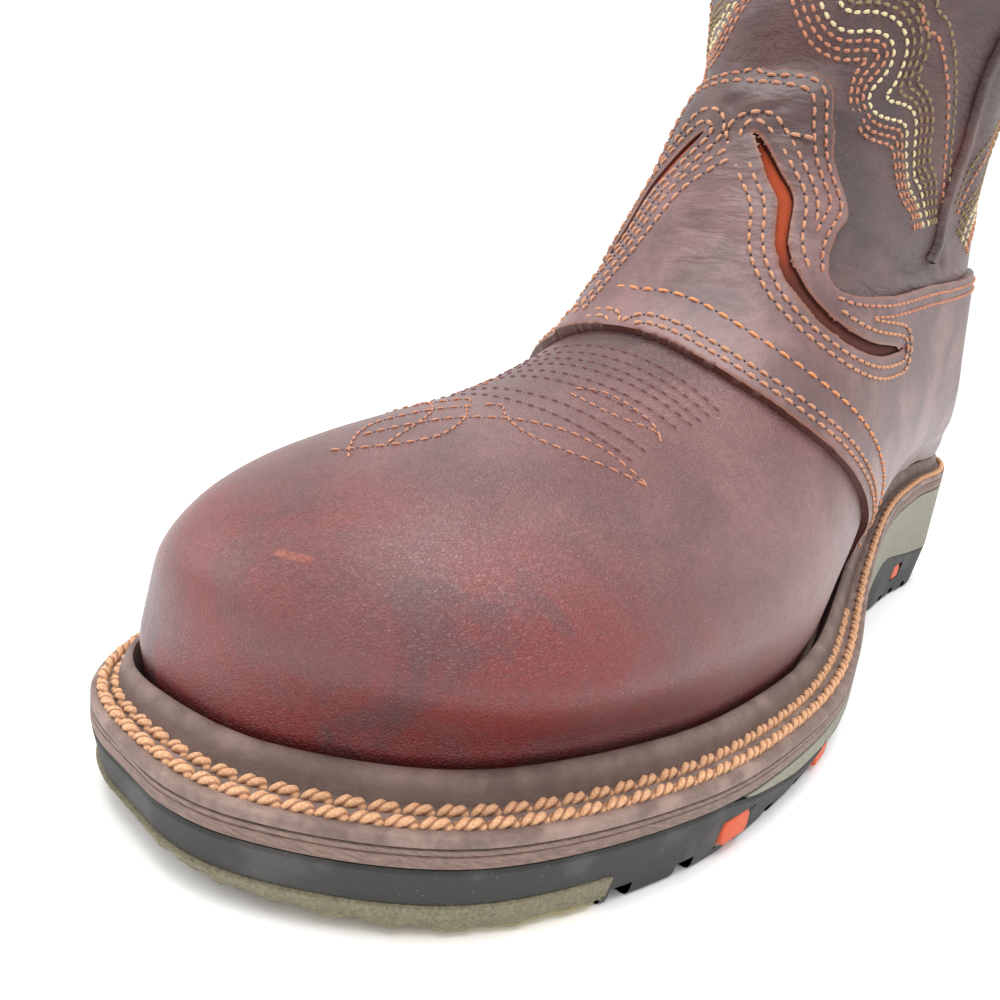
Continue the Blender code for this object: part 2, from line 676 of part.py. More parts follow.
def make_quarter(parts, cutters, guide):
    """Saddle, instep tongue and counter in one overlay with two slits."""
    quarter = shell("quarter", parts, GAP, GAP + OVERLAY)
    foot = []
    rise = MIDSOLE + WELT + BEAD_HEIGHT + 2 * GAP
    for y in np.linspace(0.10, 1.0, 10) * HALF_LENGTH:
        foot.append((float(y), float(profile(y, "midsole") + rise)))
    front = [(a * HALF_LENGTH, u * INSTEP_HEIGHT) for a, u in QUARTER_FRONT]
    front = [p for p in front if p[0] < foot[0][0] and p[1] > foot[0][1]]
    top = [(a * HALF_LENGTH, u * INSTEP_HEIGHT) for a, u in QUARTER_TOP]
    behind = [(1.1 * HALF_LENGTH, foot[-1][1])]
    form = side_prism("quarter_form", front + foot + behind + top, cutters)
    boolean(quarter, form, "INTERSECT")
    for side, word in ((1, "outer"), (-1, "inner")):
        path = [(side * a * HALF_BALL, b * HALF_LENGTH, c * INSTEP_HEIGHT)
                for a, b, c, _ in SLIT]
        widths = [w * SLIT_WIDTH for *_, w in SLIT]
        name = f"slit_{word}"
        cut = ribbon(name, guide, path, widths, -SLIT_UNDERCUT, 3 * OVERLAY, 3, 2)
        boolean(quarter, cutter_object(name, cut, cutters))
        panel_path = spline(path, 2, False)[1:-1]
        narrow = [max(w - 2.5 * GAP, 2 * GAP) for w in widths]
        panel = ribbon(f"flex_panel_{word}", guide, panel_path, narrow,
                       NEAR_GAP, NEAR_GAP + FLEX_PANEL, 3, 1)
        new_object(f"flex_panel_{word}", panel, parts)
    apply_modifiers(quarter)
    return quarter


def make_heel_strip(parts, guide):
    """The strip up the back of the heel, over the counter."""
    low = GAP + OVERLAY + CURVED_GAP
    base = float(profile(HALF_LENGTH, "midsole"))
    foot = base + MIDSOLE + WELT + BEAD_HEIGHT + 4 * GAP
    top = HEEL_STRIP_TOP * INSTEP_HEIGHT
    across, along = HEEL_BACK
    path = [(across * HALF_BALL, along * HALF_LENGTH, z)
            for z in np.linspace(foot, top, 6)]
    mesh = ribbon("heel_strip", guide, path, [HEEL_STRIP_WIDTH] * 2, low,
                  low + HEEL_STRIP, 7, 2)
    return new_object("heel_strip", mesh, parts)


def make_piping(parts, guide, side, word):
    name = f"side_piping_{word}"
    path = [(side * HALF_BALL, a * HALF_LENGTH, u * INSTEP_HEIGHT) for a, u in PIPING]
    mesh = ribbon(name, guide, path, [PIPING_WIDTH] * 2, NEAR_GAP,
                  NEAR_GAP + PIPING_HEIGHT, 3, 2)
    return new_object(name, mesh, parts)


def collar_frame():
    """Points of the collar's edge with the way out and the way down."""
    grid = skin_grid()
    edge = grid[-1, 1:]
    below = grid[-2, 1:]
    down = below - edge
    down /= np.linalg.norm(down, axis=1)[:, None]
    ahead = np.roll(edge, -1, 0) - np.roll(edge, 1, 0)
    out = np.cross(ahead, down)
    out /= np.linalg.norm(out, axis=1)[:, None]
    middle = edge.mean(0)
    if np.sum((edge - middle) * out) < 0:
        out = -out
    return edge, out, down


def make_binding(parts):
    """A folded binding over the collar's edge."""
    edge, out, down = collar_frame()
    inside = -LEATHER - GAP
    outside = 2 * GAP
    corners = (
        (outside, BINDING_DROP), (outside + BINDING, BINDING_DROP),
        (outside + BINDING, -GAP), (outside, -GAP - BINDING),
        (inside, -GAP - BINDING), (inside - BINDING, -GAP),
        (inside - BINDING, BINDING_DROP), (inside, BINDING_DROP),
        (inside, -GAP), (outside, -GAP),
    )
    points = [edge + out * away + down * drop for away, drop in corners]
    count = len(edge)
    faces = grid_faces(len(corners), count, ring=True)
    last = (len(corners) - 1) * count
    for j in range(count):
        k = (j + 1) % count
        faces.append((last + j, last + k, k, j))
    mesh = mesh_from("top_binding", np.concatenate(points), faces)
    return new_object("top_binding", mesh, parts)


def make_strap(parts, side, word):
    """A pull strap that loops over the collar from outside to inside."""
    edge, out, down = collar_frame()
    pick = edge[:, 0] * side > 0
    order = np.argsort(edge[pick][:, 1])
    y_edge = edge[pick][order, 1]
    middle = PIPING[-1][0] * HALF_LENGTH
    over = 3 * GAP + BINDING + STRAP_THICKNESS / 2
    under = -LEATHER - 3 * GAP - BINDING - STRAP_THICKNESS / 2
    route = [(over, STRAP_LEG), (over, 0.6 * STRAP_LEG), (over, 0.3 * STRAP_LEG), (over, 0.0)]
    centre = (over + under) / 2
    radius = (over - under) / 2
    for angle in np.radians((0, 30, 60, 90, 120, 150, 180)):
        route.append((centre + radius * math.cos(angle),
                      -(STRAP_RISE - radius) - radius * math.sin(angle)))
    route += [(under, 0.0), (under, 0.3 * STRAP_LEG), (under, 0.6 * STRAP_LEG), (under, STRAP_LEG)]
    rows = []
    for share in np.linspace(-0.5, 0.5, 5):
        y = middle + share * STRAP_WIDTH
        frame = [np.array([np.interp(y, y_edge, part[pick][order, k]) for k in range(3)])
                 for part in (edge, out, down)]
        place, away, drop = frame
        rows.append([place + away * a + drop * b for a, b in route])
    grid = np.array(rows)
    name = f"pull_strap_{word}"
    mesh = mesh_from(name, grid.reshape(-1, 3), grid_faces(*grid.shape[:2]))
    strap = new_object(name, mesh, parts)
    wall = strap.modifiers.new("thickness", "SOLIDIFY")
    wall.thickness = STRAP_THICKNESS
    wall.offset = 0
    apply_modifiers(strap)
    return strap


FINISHES = {
    "outsole": ((0.020, 0.020, 0.022), 0.75), "toe_bumper": ((0.23, 0.20, 0.12), 0.7),
    "foam_wedge": ((0.27, 0.27, 0.21), 0.8), "accent_plug": ((0.80, 0.12, 0.03), 0.5),
    "midsole": ((0.20, 0.12, 0.09), 0.7), "welt": ((0.16, 0.10, 0.08), 0.6),
    "insole": ((0.10, 0.08, 0.07), 0.8), "upper": ((0.12, 0.03, 0.03), 0.45),
    "quarter": ((0.09, 0.04, 0.035), 0.4), "flex_panel": ((0.50, 0.10, 0.02), 0.9),
    "heel_strip": ((0.09, 0.03, 0.03), 0.45), "side_piping": ((0.05, 0.02, 0.02), 0.45),
    "top_binding": ((0.05, 0.02, 0.02), 0.45), "pull_strap": ((0.06, 0.03, 0.03), 0.8),
}


def give_finish(obj):
    kind = max((k for k in FINISHES if obj.name.startswith(k)), key=len)
    colour, roughness = FINISHES[kind]
    material = bpy.data.materials.get(kind) or bpy.data.materials.new(kind)
    material.use_nodes = True
    shader = material.node_tree.nodes["Principled BSDF"]
    shader.inputs["Base Color"].default_value = (*colour, 1)
    shader.inputs["Roughness"].default_value = roughness
    shader.inputs["Metallic"].default_value = 0.0
    obj.data.materials.clear()
    obj.data.materials.append(material)
    obj.data.shade_smooth()
    obj.data.set_sharp_from_angle(angle=math.radians(40))


def build():
    for obj in list(bpy.data.objects):
        bpy.data.objects.remove(obj)
    parts = bpy.data.collections.new(COLLECTION)
    cutters = bpy.data.collections.new("cutters")
    for collection in (parts, cutters):
        bpy.context.scene.collection.children.link(collection)
    guide = skin_guide()
    make_outsole(parts, cutters)
    make_wedge(parts)
    make_midsole(parts)
    make_welt(parts)
    make_insole(parts)
    shell("upper", parts, -LEATHER, 0.0)
    make_quarter(parts, cutters, guide)
    make_heel_strip(parts, guide)
    for side, word in ((1, "outer"), (-1, "inner")):
        make_piping(parts, guide, side, word)
        make_strap(parts, side, word)
    make_binding(parts)
    for obj in parts.objects:
        give_finish(obj)


build()
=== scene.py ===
"""Western work boot, left foot, with a round safety toe: its looks.

Lengths are metres in the part's own frame: the toe points to -Y, the outer
side to +X, and the floor is at zero. Colours are read off the photo.
"""

import math

import bpy
import numpy as np
from mathutils import Matrix, Vector
from mathutils.bvhtree import BVHTree


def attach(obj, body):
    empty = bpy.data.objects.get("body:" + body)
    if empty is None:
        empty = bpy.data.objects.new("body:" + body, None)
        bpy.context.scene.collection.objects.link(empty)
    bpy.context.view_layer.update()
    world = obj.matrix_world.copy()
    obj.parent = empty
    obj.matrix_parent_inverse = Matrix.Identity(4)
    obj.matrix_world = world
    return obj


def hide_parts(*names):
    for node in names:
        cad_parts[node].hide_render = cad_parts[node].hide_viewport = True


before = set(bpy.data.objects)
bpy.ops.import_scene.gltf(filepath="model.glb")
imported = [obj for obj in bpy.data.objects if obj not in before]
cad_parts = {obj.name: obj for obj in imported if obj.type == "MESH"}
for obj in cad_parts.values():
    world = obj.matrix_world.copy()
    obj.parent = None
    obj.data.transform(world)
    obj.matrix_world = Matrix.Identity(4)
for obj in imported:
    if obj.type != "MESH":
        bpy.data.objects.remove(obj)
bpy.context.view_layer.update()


# Outsole: one moulded black rubber unit with a heel block, an arch and a row
# of lugs. It is matt and speckled, and it is glued under the midsole.
HALF_LENGTH = 0.159
HALF_BALL = 0.05675
HEEL_SEAT = 0.040
TOE_SPRING = 0.003
MIDSOLE = 0.0032
GAP = 0.0003
FINE = 26
OUTLINE = (
    (1.000, -0.03), (0.943, 0.39), (0.780, 0.55), (0.591, 0.55),
    (0.346, 0.60), (0.101, 0.745), (-0.176, 0.955), (-0.415, 1.00),
    (-0.623, 0.94), (-0.843, 0.69), (-0.975, 0.235), (-1.000, -0.17),
    (-0.962, -0.575), (-0.811, -0.86), (-0.579, -1.00), (-0.346, -1.00),
    (-0.094, -0.805), (0.126, -0.61), (0.346, -0.58), (0.597, -0.65),
    (0.786, -0.65), (0.943, -0.455),
)
PROFILE_COLUMNS = ("along", "midsole", "wedge", "tread")
PROFILE = (
    (-1.00, 0.320, 0.320, 0.000), (-0.786, 0.315, 0.315, 0.000),
    (-0.56, 0.303, 0.303, 0.000), (-0.50, 0.298, 0.255, 0.000),
    (-0.40, 0.288, 0.195, 0.000), (-0.30, 0.285, 0.190, 0.000),
    (-0.18, 0.315, 0.195, 0.010), (0.00, 0.450, 0.235, 0.100),
    (0.19, 0.6625, 0.330, 0.190), (0.31, 0.785, 0.415, 0.220),
    (0.40, 0.850, 0.480, 0.200), (0.455, 0.878, 0.485, 0.000),
    (0.63, 0.9375, 0.400, 0.000), (1.00, 1.000, 0.360, 0.000),
)


def spline(points, t, closed=False):
    """A smooth curve through points (Catmull-Rom), read at the places t."""
    p = np.asarray(points, float)
    n = len(p)
    k = np.clip(t.astype(int), 0, n - 1 if closed else n - 2)
    f = (t - k)[:, None]
    if closed:
        a, b, c, d = (p[(k + i) % n] for i in (-1, 0, 1, 2))
    else:
        e = np.vstack([2 * p[0] - p[1], p, 2 * p[-1] - p[-2]])
        a, b, c, d = (e[k + i] for i in range(4))
    return .5 * (2 * b + (c - a) * f + (2 * a - 5 * b + 4 * c - d) * f ** 2
                 + (3 * b - a - 3 * c + d) * f ** 3)


def outline(steps=FINE):
    """The sole's outline as x, y, centred on its own box."""
    s = spline(OUTLINE, np.arange(len(OUTLINE) * steps) / steps, True)
    loop = np.stack([s[:, 1] * HALF_BALL, s[:, 0] * HALF_LENGTH], 1)
    coarse = spline(OUTLINE, np.arange(len(OUTLINE) * 3) / 3, True)
    coarse = np.stack([coarse[:, 1] * HALF_BALL, coarse[:, 0] * HALF_LENGTH], 1)
    return loop - (coarse.min(0) + coarse.max(0)) / 2


def inset(loop, depth):
    """The outline moved inwards by a depth: its tangent turned a quarter."""
    ahead = np.roll(loop, -1, 0) - np.roll(loop, 1, 0)
    ahead /= np.linalg.norm(ahead, axis=1)[:, None]
    inward = np.stack([ahead[:, 1], -ahead[:, 0]], 1)
    if np.sum(loop * inward) > 0:
        inward = -inward
    return loop + inward * np.broadcast_to(depth, (len(loop),))[:, None]


def profile(y, column):
    """Height of one line of the sole's side at y, from its table."""
    table = np.asarray(PROFILE)
    at = np.clip(np.asarray(y, float) / HALF_LENGTH, -1, 1)
    rise = np.interp(at, table[:, 0], table[:, PROFILE_COLUMNS.index(column)])
    return rise * HEEL_SEAT


def tread(y):
    """Underside of the tread, with the toe lifted by its spring."""
    lift = np.clip((-np.asarray(y, float) / HALF_LENGTH - 0.76) / 0.24, 0, 1)
    return profile(y, "tread") + TOE_SPRING * lift ** 2


def midsole_top(y):
    return profile(y, "midsole") + MIDSOLE


def grid_faces(rows, columns, ring=False):
    """Corner numbers of a grid's four-sided faces, as an array."""
    i = np.arange(rows - 1)[:, None] * columns
    j = np.arange(columns if ring else columns - 1)[None]
    k = (j + 1) % columns
    return np.stack([i + j, i + k, i + columns + k, i + columns + j], -1).reshape(-1, 4)


def face_list(*sets):
    """Several arrays of corner numbers as one list of faces."""
    return [tuple(face) for faces in sets for face in np.asarray(faces).tolist()]


def new_mesh(name, points, faces, look=None, sharp=None):
    """An object from points and faces, with its material, shaded smooth."""
    mesh = bpy.data.meshes.new(name)
    mesh.from_pydata(np.asarray(points).reshape(-1, 3).tolist(), [],
                     faces if isinstance(faces, list) else face_list(faces))
    mesh.validate()
    mesh.shade_smooth()
    if sharp is not None:
        mesh.set_sharp_from_angle(angle=math.radians(sharp))
    obj = bpy.data.objects.new(name, mesh)
    bpy.context.scene.collection.objects.link(obj)
    if look:
        mesh.materials.append(look)
    return obj


def settled(obj, slot, *nodes):
    """The piece rides on the part and stands for its CAD nodes."""
    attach(obj, "root")
    if nodes:
        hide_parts(*nodes)
    return obj


def layer(levels, back=1.0, front=-1.0):
    """Points and faces of one layer of the sole.

    Each level is the outline inset by a depth at a height over y, between two
    places along the boot, and rungs from side to side close both ends.
    """
    loop = outline()
    half = len(loop) // 2
    first, last = (int(np.argmin(np.abs(loop[:half + 1, 1] - share * HALF_LENGTH)))
                   for share in (back, front))
    outer = np.arange(first, last + 1)
    inner = (len(loop) - outer) % len(loop)
    inner = inner[:-1] if last == half else inner
    inner = inner[1:] if first == 0 else inner
    order = np.concatenate([outer, inner[::-1]])
    points = []
    for depth, height in levels:
        edge = inset(loop, depth(loop) if callable(depth) else depth)[order]
        points.append(np.column_stack([edge, height(edge[:, 1])]))
    count = len(order)
    faces = face_list(grid_faces(len(levels), count, True))
    start = 0 if first == 0 else 1
    for base in (0, (len(levels) - 1) * count):
        for i in range(last - first):
            corners = (i, i + 1, (count - i - 1 - start) % count, (count - i - start) % count)
            corners = tuple(dict.fromkeys(base + c for c in corners))
            faces.append(corners if len(corners) > 2 else ())
    return np.concatenate(points), [f for f in faces if f]


def box_mesh(name, middle, along, out, size):
    """A cutting box that faces out from the outline."""
    up = np.cross(along, out)
    corners = [(a, b, c) for a in (-.5, .5) for b in (-.5, .5) for c in (-.5, .5)]
    points = [middle + along * size[0] * a + out * size[1] * b + up * size[2] * c
              for a, b, c in corners]
    faces = [(0, 1, 3, 2), (4, 6, 7, 5), (0, 4, 5, 1), (2, 3, 7, 6), (0, 2, 6, 4), (1, 5, 7, 3)]
    return new_mesh(name, points, faces)


def cut(obj, cutters):
    """Takes the cutters from the object."""
    for cutter in cutters:
        modifier = obj.modifiers.new("cut", "BOOLEAN")
        modifier.solver = "EXACT"
        modifier.object = cutter
    graph = bpy.context.evaluated_depsgraph_get()
    mesh = bpy.data.meshes.new_from_object(obj.evaluated_get(graph))
    obj.modifiers.clear()
    obj.data = mesh
    for cutter in cutters:
        bpy.data.objects.remove(cutter)
    mesh.shade_smooth()
    mesh.set_sharp_from_angle(angle=math.radians(35))


class Wire:
    """A value on a material's wires, so that shader maths reads as maths."""

    def __init__(self, tree, socket):
        self.tree = tree
        self.socket = socket

    def make(self, kind, settings=None, sockets=None, out=0):
        """Any other node, from its type, its settings and its inputs."""
        node = self.tree.nodes.new("ShaderNode" + kind)
        for name, value in (settings or {}).items():
            setattr(node, name, value)
        for name, value in (sockets or {}).items():
            if isinstance(value, Wire):
                self.tree.links.new(value.socket, node.inputs[name])
            else:
                node.inputs[name].default_value = value
        return Wire(self.tree, node.outputs[out])

    def maths(self, operation, *values):
        return self.make("Math", {"operation": operation}, dict(enumerate(values)))

    def __add__(self, other):
        return self.maths("ADD", self, other)

    def __radd__(self, other):
        return self.maths("ADD", other, self)

    def __sub__(self, other):
        return self.maths("SUBTRACT", self, other)

    def __rsub__(self, other):
        return self.maths("SUBTRACT", other, self)

    def __mul__(self, other):
        return self.maths("MULTIPLY", self, other)

    def __rmul__(self, other):
        return self.maths("MULTIPLY", other, self)

    def shade(self, low, high, first, second):
        """From one screen colour to another as the wire goes from low to high."""
        return self.step(low, high).mix(tint(*first), tint(*second))

    def over(self, colour, added, share=1.0):
        """A screen colour laid over another by this wire times a share."""
        return (self * share).mix(colour, tint(*added))

    def step(self, low, high):
        """0 below low, 1 above high and soft between."""
        return self.make("MapRange", {"interpolation_type": "SMOOTHSTEP"},
                         {"Value": self, "From Min": low, "From Max": high})

    def mix(self, first, second):
        """First where this wire is 0, second where it is 1."""
        return self.make("Mix", {"data_type": "RGBA"}, {0: self, 6: first, 7: second}, 2)

    def noise(self, scale, detail=3.0, rough=0.5, twist=0.0):
        return self.make("TexNoise", {}, {"Vector": self, "Scale": scale, "Detail": detail,
                                          "Roughness": rough, "Distortion": twist})

    def cells(self, scale, feature="F1"):
        return self.make("TexVoronoi", {"feature": feature}, {"Vector": self, "Scale": scale})

    def part(self, axis):
        return self.make("SeparateXYZ", {}, {0: self}, "XYZ".index(axis))

    def stretched(self, x, y, z):
        return self.make("VectorMath", {"operation": "MULTIPLY"}, {0: self, 1: (x, y, z)})

    def bent(self, scale, reach):
        """The place moved by a soft noise, by up to half the reach."""
        moved = self.make("TexNoise", {}, {"Vector": self, "Scale": scale, "Detail": 2.0}, 1)
        return self.make("VectorMath", {"operation": "MULTIPLY_ADD"},
                         {0: moved, 1: (reach,) * 3, 2: self})

    def field(self, name):
        """A value that the mesh carries at its points."""
        return self.make("Attribute", {"attribute_name": name}, {}, 2)


def tint(red, green, blue):
    """A colour as read off a screen, 0 to 255, in linear light."""
    share = np.array([red, green, blue]) / 255
    linear = np.where(share <= 0.04045, share / 12.92, ((share + 0.055) / 1.055) ** 2.4)
    return (*[float(v) for v in linear], 1.0)


def finish(name, build, **constants):
    """A material. Its build function takes the place in mm as a wire and gives
    the wires for colour, roughness and height, the height in mm."""
    material = bpy.data.materials.new(name)
    material.use_nodes = True
    tree = material.node_tree
    shader = tree.nodes["Principled BSDF"]
    place = Wire(tree, tree.nodes.new("ShaderNodeTexCoord").outputs["Object"])
    place = place.stretched(1000, 1000, 1000)
    colour, rough, height = build(place)
    normal = place.make("Bump", {}, {"Height": height, "Distance": 0.001})
    tree.links.new(colour.socket, shader.inputs["Base Color"])
    tree.links.new(rough.socket, shader.inputs["Roughness"])
    tree.links.new(normal.socket, shader.inputs["Normal"])
    for key, value in constants.items():
        shader.inputs[key.replace("_", " ")].default_value = value
    return material


def black_rubber(place):
    """Matt black with a fine grain, pale dust specks and a few dull patches."""
    grain = place.noise(2.2, 4.0, 0.7)
    specks = place.cells(0.9).step(0.16, 0.10) * place.noise(0.7, 2.0).step(0.50, 0.62)
    patch = place.noise(0.09, 3.0).step(0.50, 0.68)
    colour = patch.mix(tint(48, 48, 47), tint(70, 69, 67))
    colour = specks.over(colour, (130, 128, 130), 0.5)
    return colour, 0.62 + 0.2 * grain, 0.22 * grain + 0.12 * place.noise(6.0, 2.0)


def plug_places():
    """Where each accent plug sits: its middle, the way along and the way out."""
    loop = outline()
    half = len(loop) // 2
    places = []
    for along, up in ((-.53, .125), (-.265, .100), (.60, .25)):
        for side, run in ((1, loop[:half]), (-1, loop[half:])):
            k = int(np.argmin(np.abs(run[:, 1] - along * HALF_LENGTH)))
            ahead = np.array([*(run[k + 1] - run[k - 1]), 0.0])
            ahead /= np.linalg.norm(ahead)
            out = np.array([ahead[1], -ahead[0], 0.0])
            out = -out if out[0] * side < 0 else out
            places.append((np.array([*run[k], up * HEEL_SEAT]), ahead, out))
    return places


def under_midsole(y):
    """Top of the outsole, under the midsole or the wedge."""
    return np.minimum(profile(y, "midsole"), profile(y, "wedge")) - GAP


PLUG_LENGTH = 0.0090
PLUG_HEIGHT = 0.0048
PLUG_SET = 0.0016
POCKET_ROOM = 0.0010
POCKET_DEPTH = 0.0076
GUM_EDGE = -0.71
GUM_THICKNESS = 0.0046
SIDE_TAPER = 0.0030
TREAD_SPANS = ((-0.690, -0.26), (0.535, 0.93))
GROOVE_PITCH = 0.0135
GROOVE_WIDTH = 0.0042
GROOVE_DEPTH = 0.0030
ACROSS = 0.3
AXES = np.eye(3)
outsole = new_mesh("outsole_rubber", *layer((
    (SIDE_TAPER, tread), (0.82 * SIDE_TAPER, lambda y: tread(y) + 0.0003),
    (0.68 * SIDE_TAPER, lambda y: tread(y) + 0.0012),
    (0.0002, lambda y: under_midsole(y) - 0.0006),
    (0.0005, under_midsole))), finish("black_rubber", black_rubber, IOR=1.5))
room = (PLUG_LENGTH + POCKET_ROOM, POCKET_DEPTH, PLUG_HEIGHT + POCKET_ROOM)
cutters = [box_mesh("pocket", spot - out * PLUG_SET, ahead, out, room)
           for spot, ahead, out in plug_places()]
cutters += [box_mesh("groove", y * AXES[1], AXES[0], AXES[1],
                     (ACROSS, GROOVE_WIDTH, 2 * GROOVE_DEPTH))
            for start, stop in TREAD_SPANS
            for y in np.arange(start * HALF_LENGTH, stop * HALF_LENGTH, GROOVE_PITCH)]
gum_top = GUM_THICKNESS + 0.5 * TOE_SPRING
cutters.append(box_mesh("gum_space", (GUM_EDGE * HALF_LENGTH - 0.10) * AXES[1], AXES[0], AXES[1],
                        (ACROSS, 0.2, 2 * (gum_top + GAP))))
cut(outsole, cutters)
settled(outsole, "outsole", "outsole")


# Toe bumper: a sheet of olive gum rubber let into the front of the outsole.
# It is grainy, with a worn and yellowish lower edge, and it is glued in.
def gum_rubber(place):
    """Olive tan with coarse grain, yellow and torn towards the lower edge."""
    grain = place.noise(1.6, 5.0, 0.75)
    worn = (place.part("Z") + 2.4 * (place.noise(0.35, 3.0) - 0.5)).step(2.2, 0.9)
    colour = grain.shade(0.3, 0.7, (106, 100, 80), (150, 143, 116))
    colour = worn.over(colour, (196, 178, 116), 0.75)
    return colour, 0.66 + 0.15 * grain, 0.45 * grain + 0.2 * place.noise(5.0, 3.0)


def torn_edge(loop):
    """How far the worn lower edge is eaten in: a few unlike waves."""
    around = np.arange(len(loop))
    waves = 0.0004 * np.sin(around * 0.9) + 0.0003 * np.sin(around * 2.3 + 1.0)
    return SIDE_TAPER + 0.0004 + waves


bumper = new_mesh("toe_bumper_gum", *layer((
    (torn_edge, tread), (lambda loop: 0.55 * torn_edge(loop), lambda y: tread(y) + 0.0014),
    (0.0009, lambda y: gum_top - 0.0003 + 0 * y), (0.0013, lambda y: gum_top + 0 * y)),
    GUM_EDGE, -1.0), finish("gum_rubber", gum_rubber), 40)
settled(bumper, "toe_bumper", "toe_bumper")


# Accent plugs: small orange rubber blocks with cut corners. Each is pressed
# into a dark pocket in the outsole's edge.
def plug_mesh(name, spot, ahead, out, look):
    """A block: an eight-sided outline, drawn in a little at its front."""
    ends = np.array([(.5, .26), (.40, .5), (-.40, .5), (-.5, .26),
                     (-.5, -.26), (-.40, -.5), (.40, -.5), (.5, -.26)])
    up = np.array([0, 0, 1.0])
    rings = []
    for depth, scale in ((-0.0030, 1.0), (0.0000, 1.0), (0.0005, 0.93), (0.0006, 0.85)):
        wide = ends[:, :1] * PLUG_LENGTH * scale
        high = ends[:, 1:] * PLUG_HEIGHT * scale
        rings.append(spot + ahead * wide + up * high + out * (depth - PLUG_SET))
    faces = face_list(grid_faces(4, 8, True), [range(24, 32)])
    return new_mesh(name, np.concatenate(rings), faces, look, 35)


def plug_rubber(place):
    """Bright orange, a little dusty."""
    dust = place.noise(1.2, 4.0, 0.7)
    colour = (dust.step(0.45, 0.75) * 0.4).mix(tint(206, 82, 38), tint(176, 100, 72))
    return colour, 0.5 + 0.2 * dust, 0.12 * dust


plug_look = finish("orange_rubber", plug_rubber)
for number, (spot, ahead, out) in enumerate(plug_places(), 1):
    block = plug_mesh(f"plug_{number}", spot, ahead, out, plug_look)
    settled(block, "accent_plug", f"accent_plug_{number}")


# Foam wedge: an olive foam filler that builds up the arch and the heel. It is
# moulded between the midsole and the outsole, with an open, grainy skin.
def foam(place):
    """Grey-green foam with fine pores."""
    grain = place.noise(1.9, 5.0, 0.7)
    pores = place.cells(2.4).step(0.12, 0.30)
    colour = grain.shade(0.3, 0.7, (122, 121, 106), (160, 158, 142))
    return colour, 0.8 + 0.1 * grain, 0.25 * grain + 0.15 * pores


wedge = new_mesh("foam_wedge_side", *layer((
    (0.0003, lambda y: profile(y, "wedge")), (0.0, lambda y: profile(y, "wedge") + 0.0004),
    (0.0, lambda y: profile(y, "midsole") - GAP)), 1.0, -0.53), finish("foam", foam), 40)
settled(wedge, "foam_wedge", "foam_wedge")


# Midsole: a brown slab of rubbery fibre, trimmed flush all round and scored by
# the trimming wheel. It is glued and stitched under the welt.
def midsole_look(place):
    """Brown with slanted scores from trimming and scuffed patches."""
    slant = place.make("VectorRotate", {"rotation_type": "X_AXIS"},
                       {"Vector": place, "Angle": 0.35})
    scores = slant.stretched(0.45, 0.45, 2.6).noise(1.0, 5.0, 0.7)
    patch = place.noise(0.12, 4.0)
    colour = scores.shade(0.32, 0.68, (104, 84, 76), (140, 116, 104))
    colour = (patch.step(0.50, 0.7) * 0.5).mix(colour, tint(138, 116, 104))
    return colour, 0.55 + 0.25 * scores, 0.28 * scores


midsole = new_mesh("midsole_edge", *layer((
    (0.0004, lambda y: profile(y, "midsole")), (0.0, lambda y: profile(y, "midsole") + 0.0004),
    (0.0, lambda y: midsole_top(y) - 0.0012), (0.0003, lambda y: midsole_top(y) - 0.0010),
    (0.0, lambda y: midsole_top(y) - 0.0008), (0.0, lambda y: midsole_top(y) - 0.0002),
    (0.0003, midsole_top))), finish("midsole_brown", midsole_look), 50)
settled(midsole, "midsole", "midsole")


# Welt: a storm welt of brown leather. Its inner edge stands up as a rounded
# bead against the upper, and it is sewn down with chunky twisted thread.
WELT = 0.0020
BEAD_HEIGHT = 0.0050
BEAD_WIDTH = 0.0030
CURVED_GAP = 0.0010
FEATHER_INSET = 0.0115
HEEL_FEATHER_INSET = 0.0085
TOE_SHIFT = 0.0026


def seat(y):
    """Height at which the foot of the upper stands."""
    return midsole_top(y) + 2 * GAP


def smooth(share):
    """A soft step from 0 to 1."""
    share = np.clip(share, 0, 1)
    return share * share * (3 - 2 * share)


def feather_inset(spots, height):
    """How far the leather stands in from the outline at a height over its seat:
    less at the heel, and less where the toe is shifted inwards."""
    across, along = spots[:, 0] / HALF_BALL, spots[:, 1] / HALF_LENGTH
    back = smooth((along + 0.25) / 0.6)
    foot = FEATHER_INSET + (HEEL_FEATHER_INSET - FEATHER_INSET) * back
    foot = foot - TOE_SHIFT * smooth((-along - 0.60) / 0.30) * smooth((0.15 - across) / 0.60)
    rise = np.clip(height, 0, 0.012)
    return foot - (0.24 + 0.14 * back) * rise * (1 - 25 * rise)


def welt_room(loop):
    """How far in the bead's crest is, and the strip's share of its usual room."""
    crest = feather_inset(loop, WELT + BEAD_HEIGHT) - CURVED_GAP
    return crest, np.minimum(crest / 0.0091, 1)


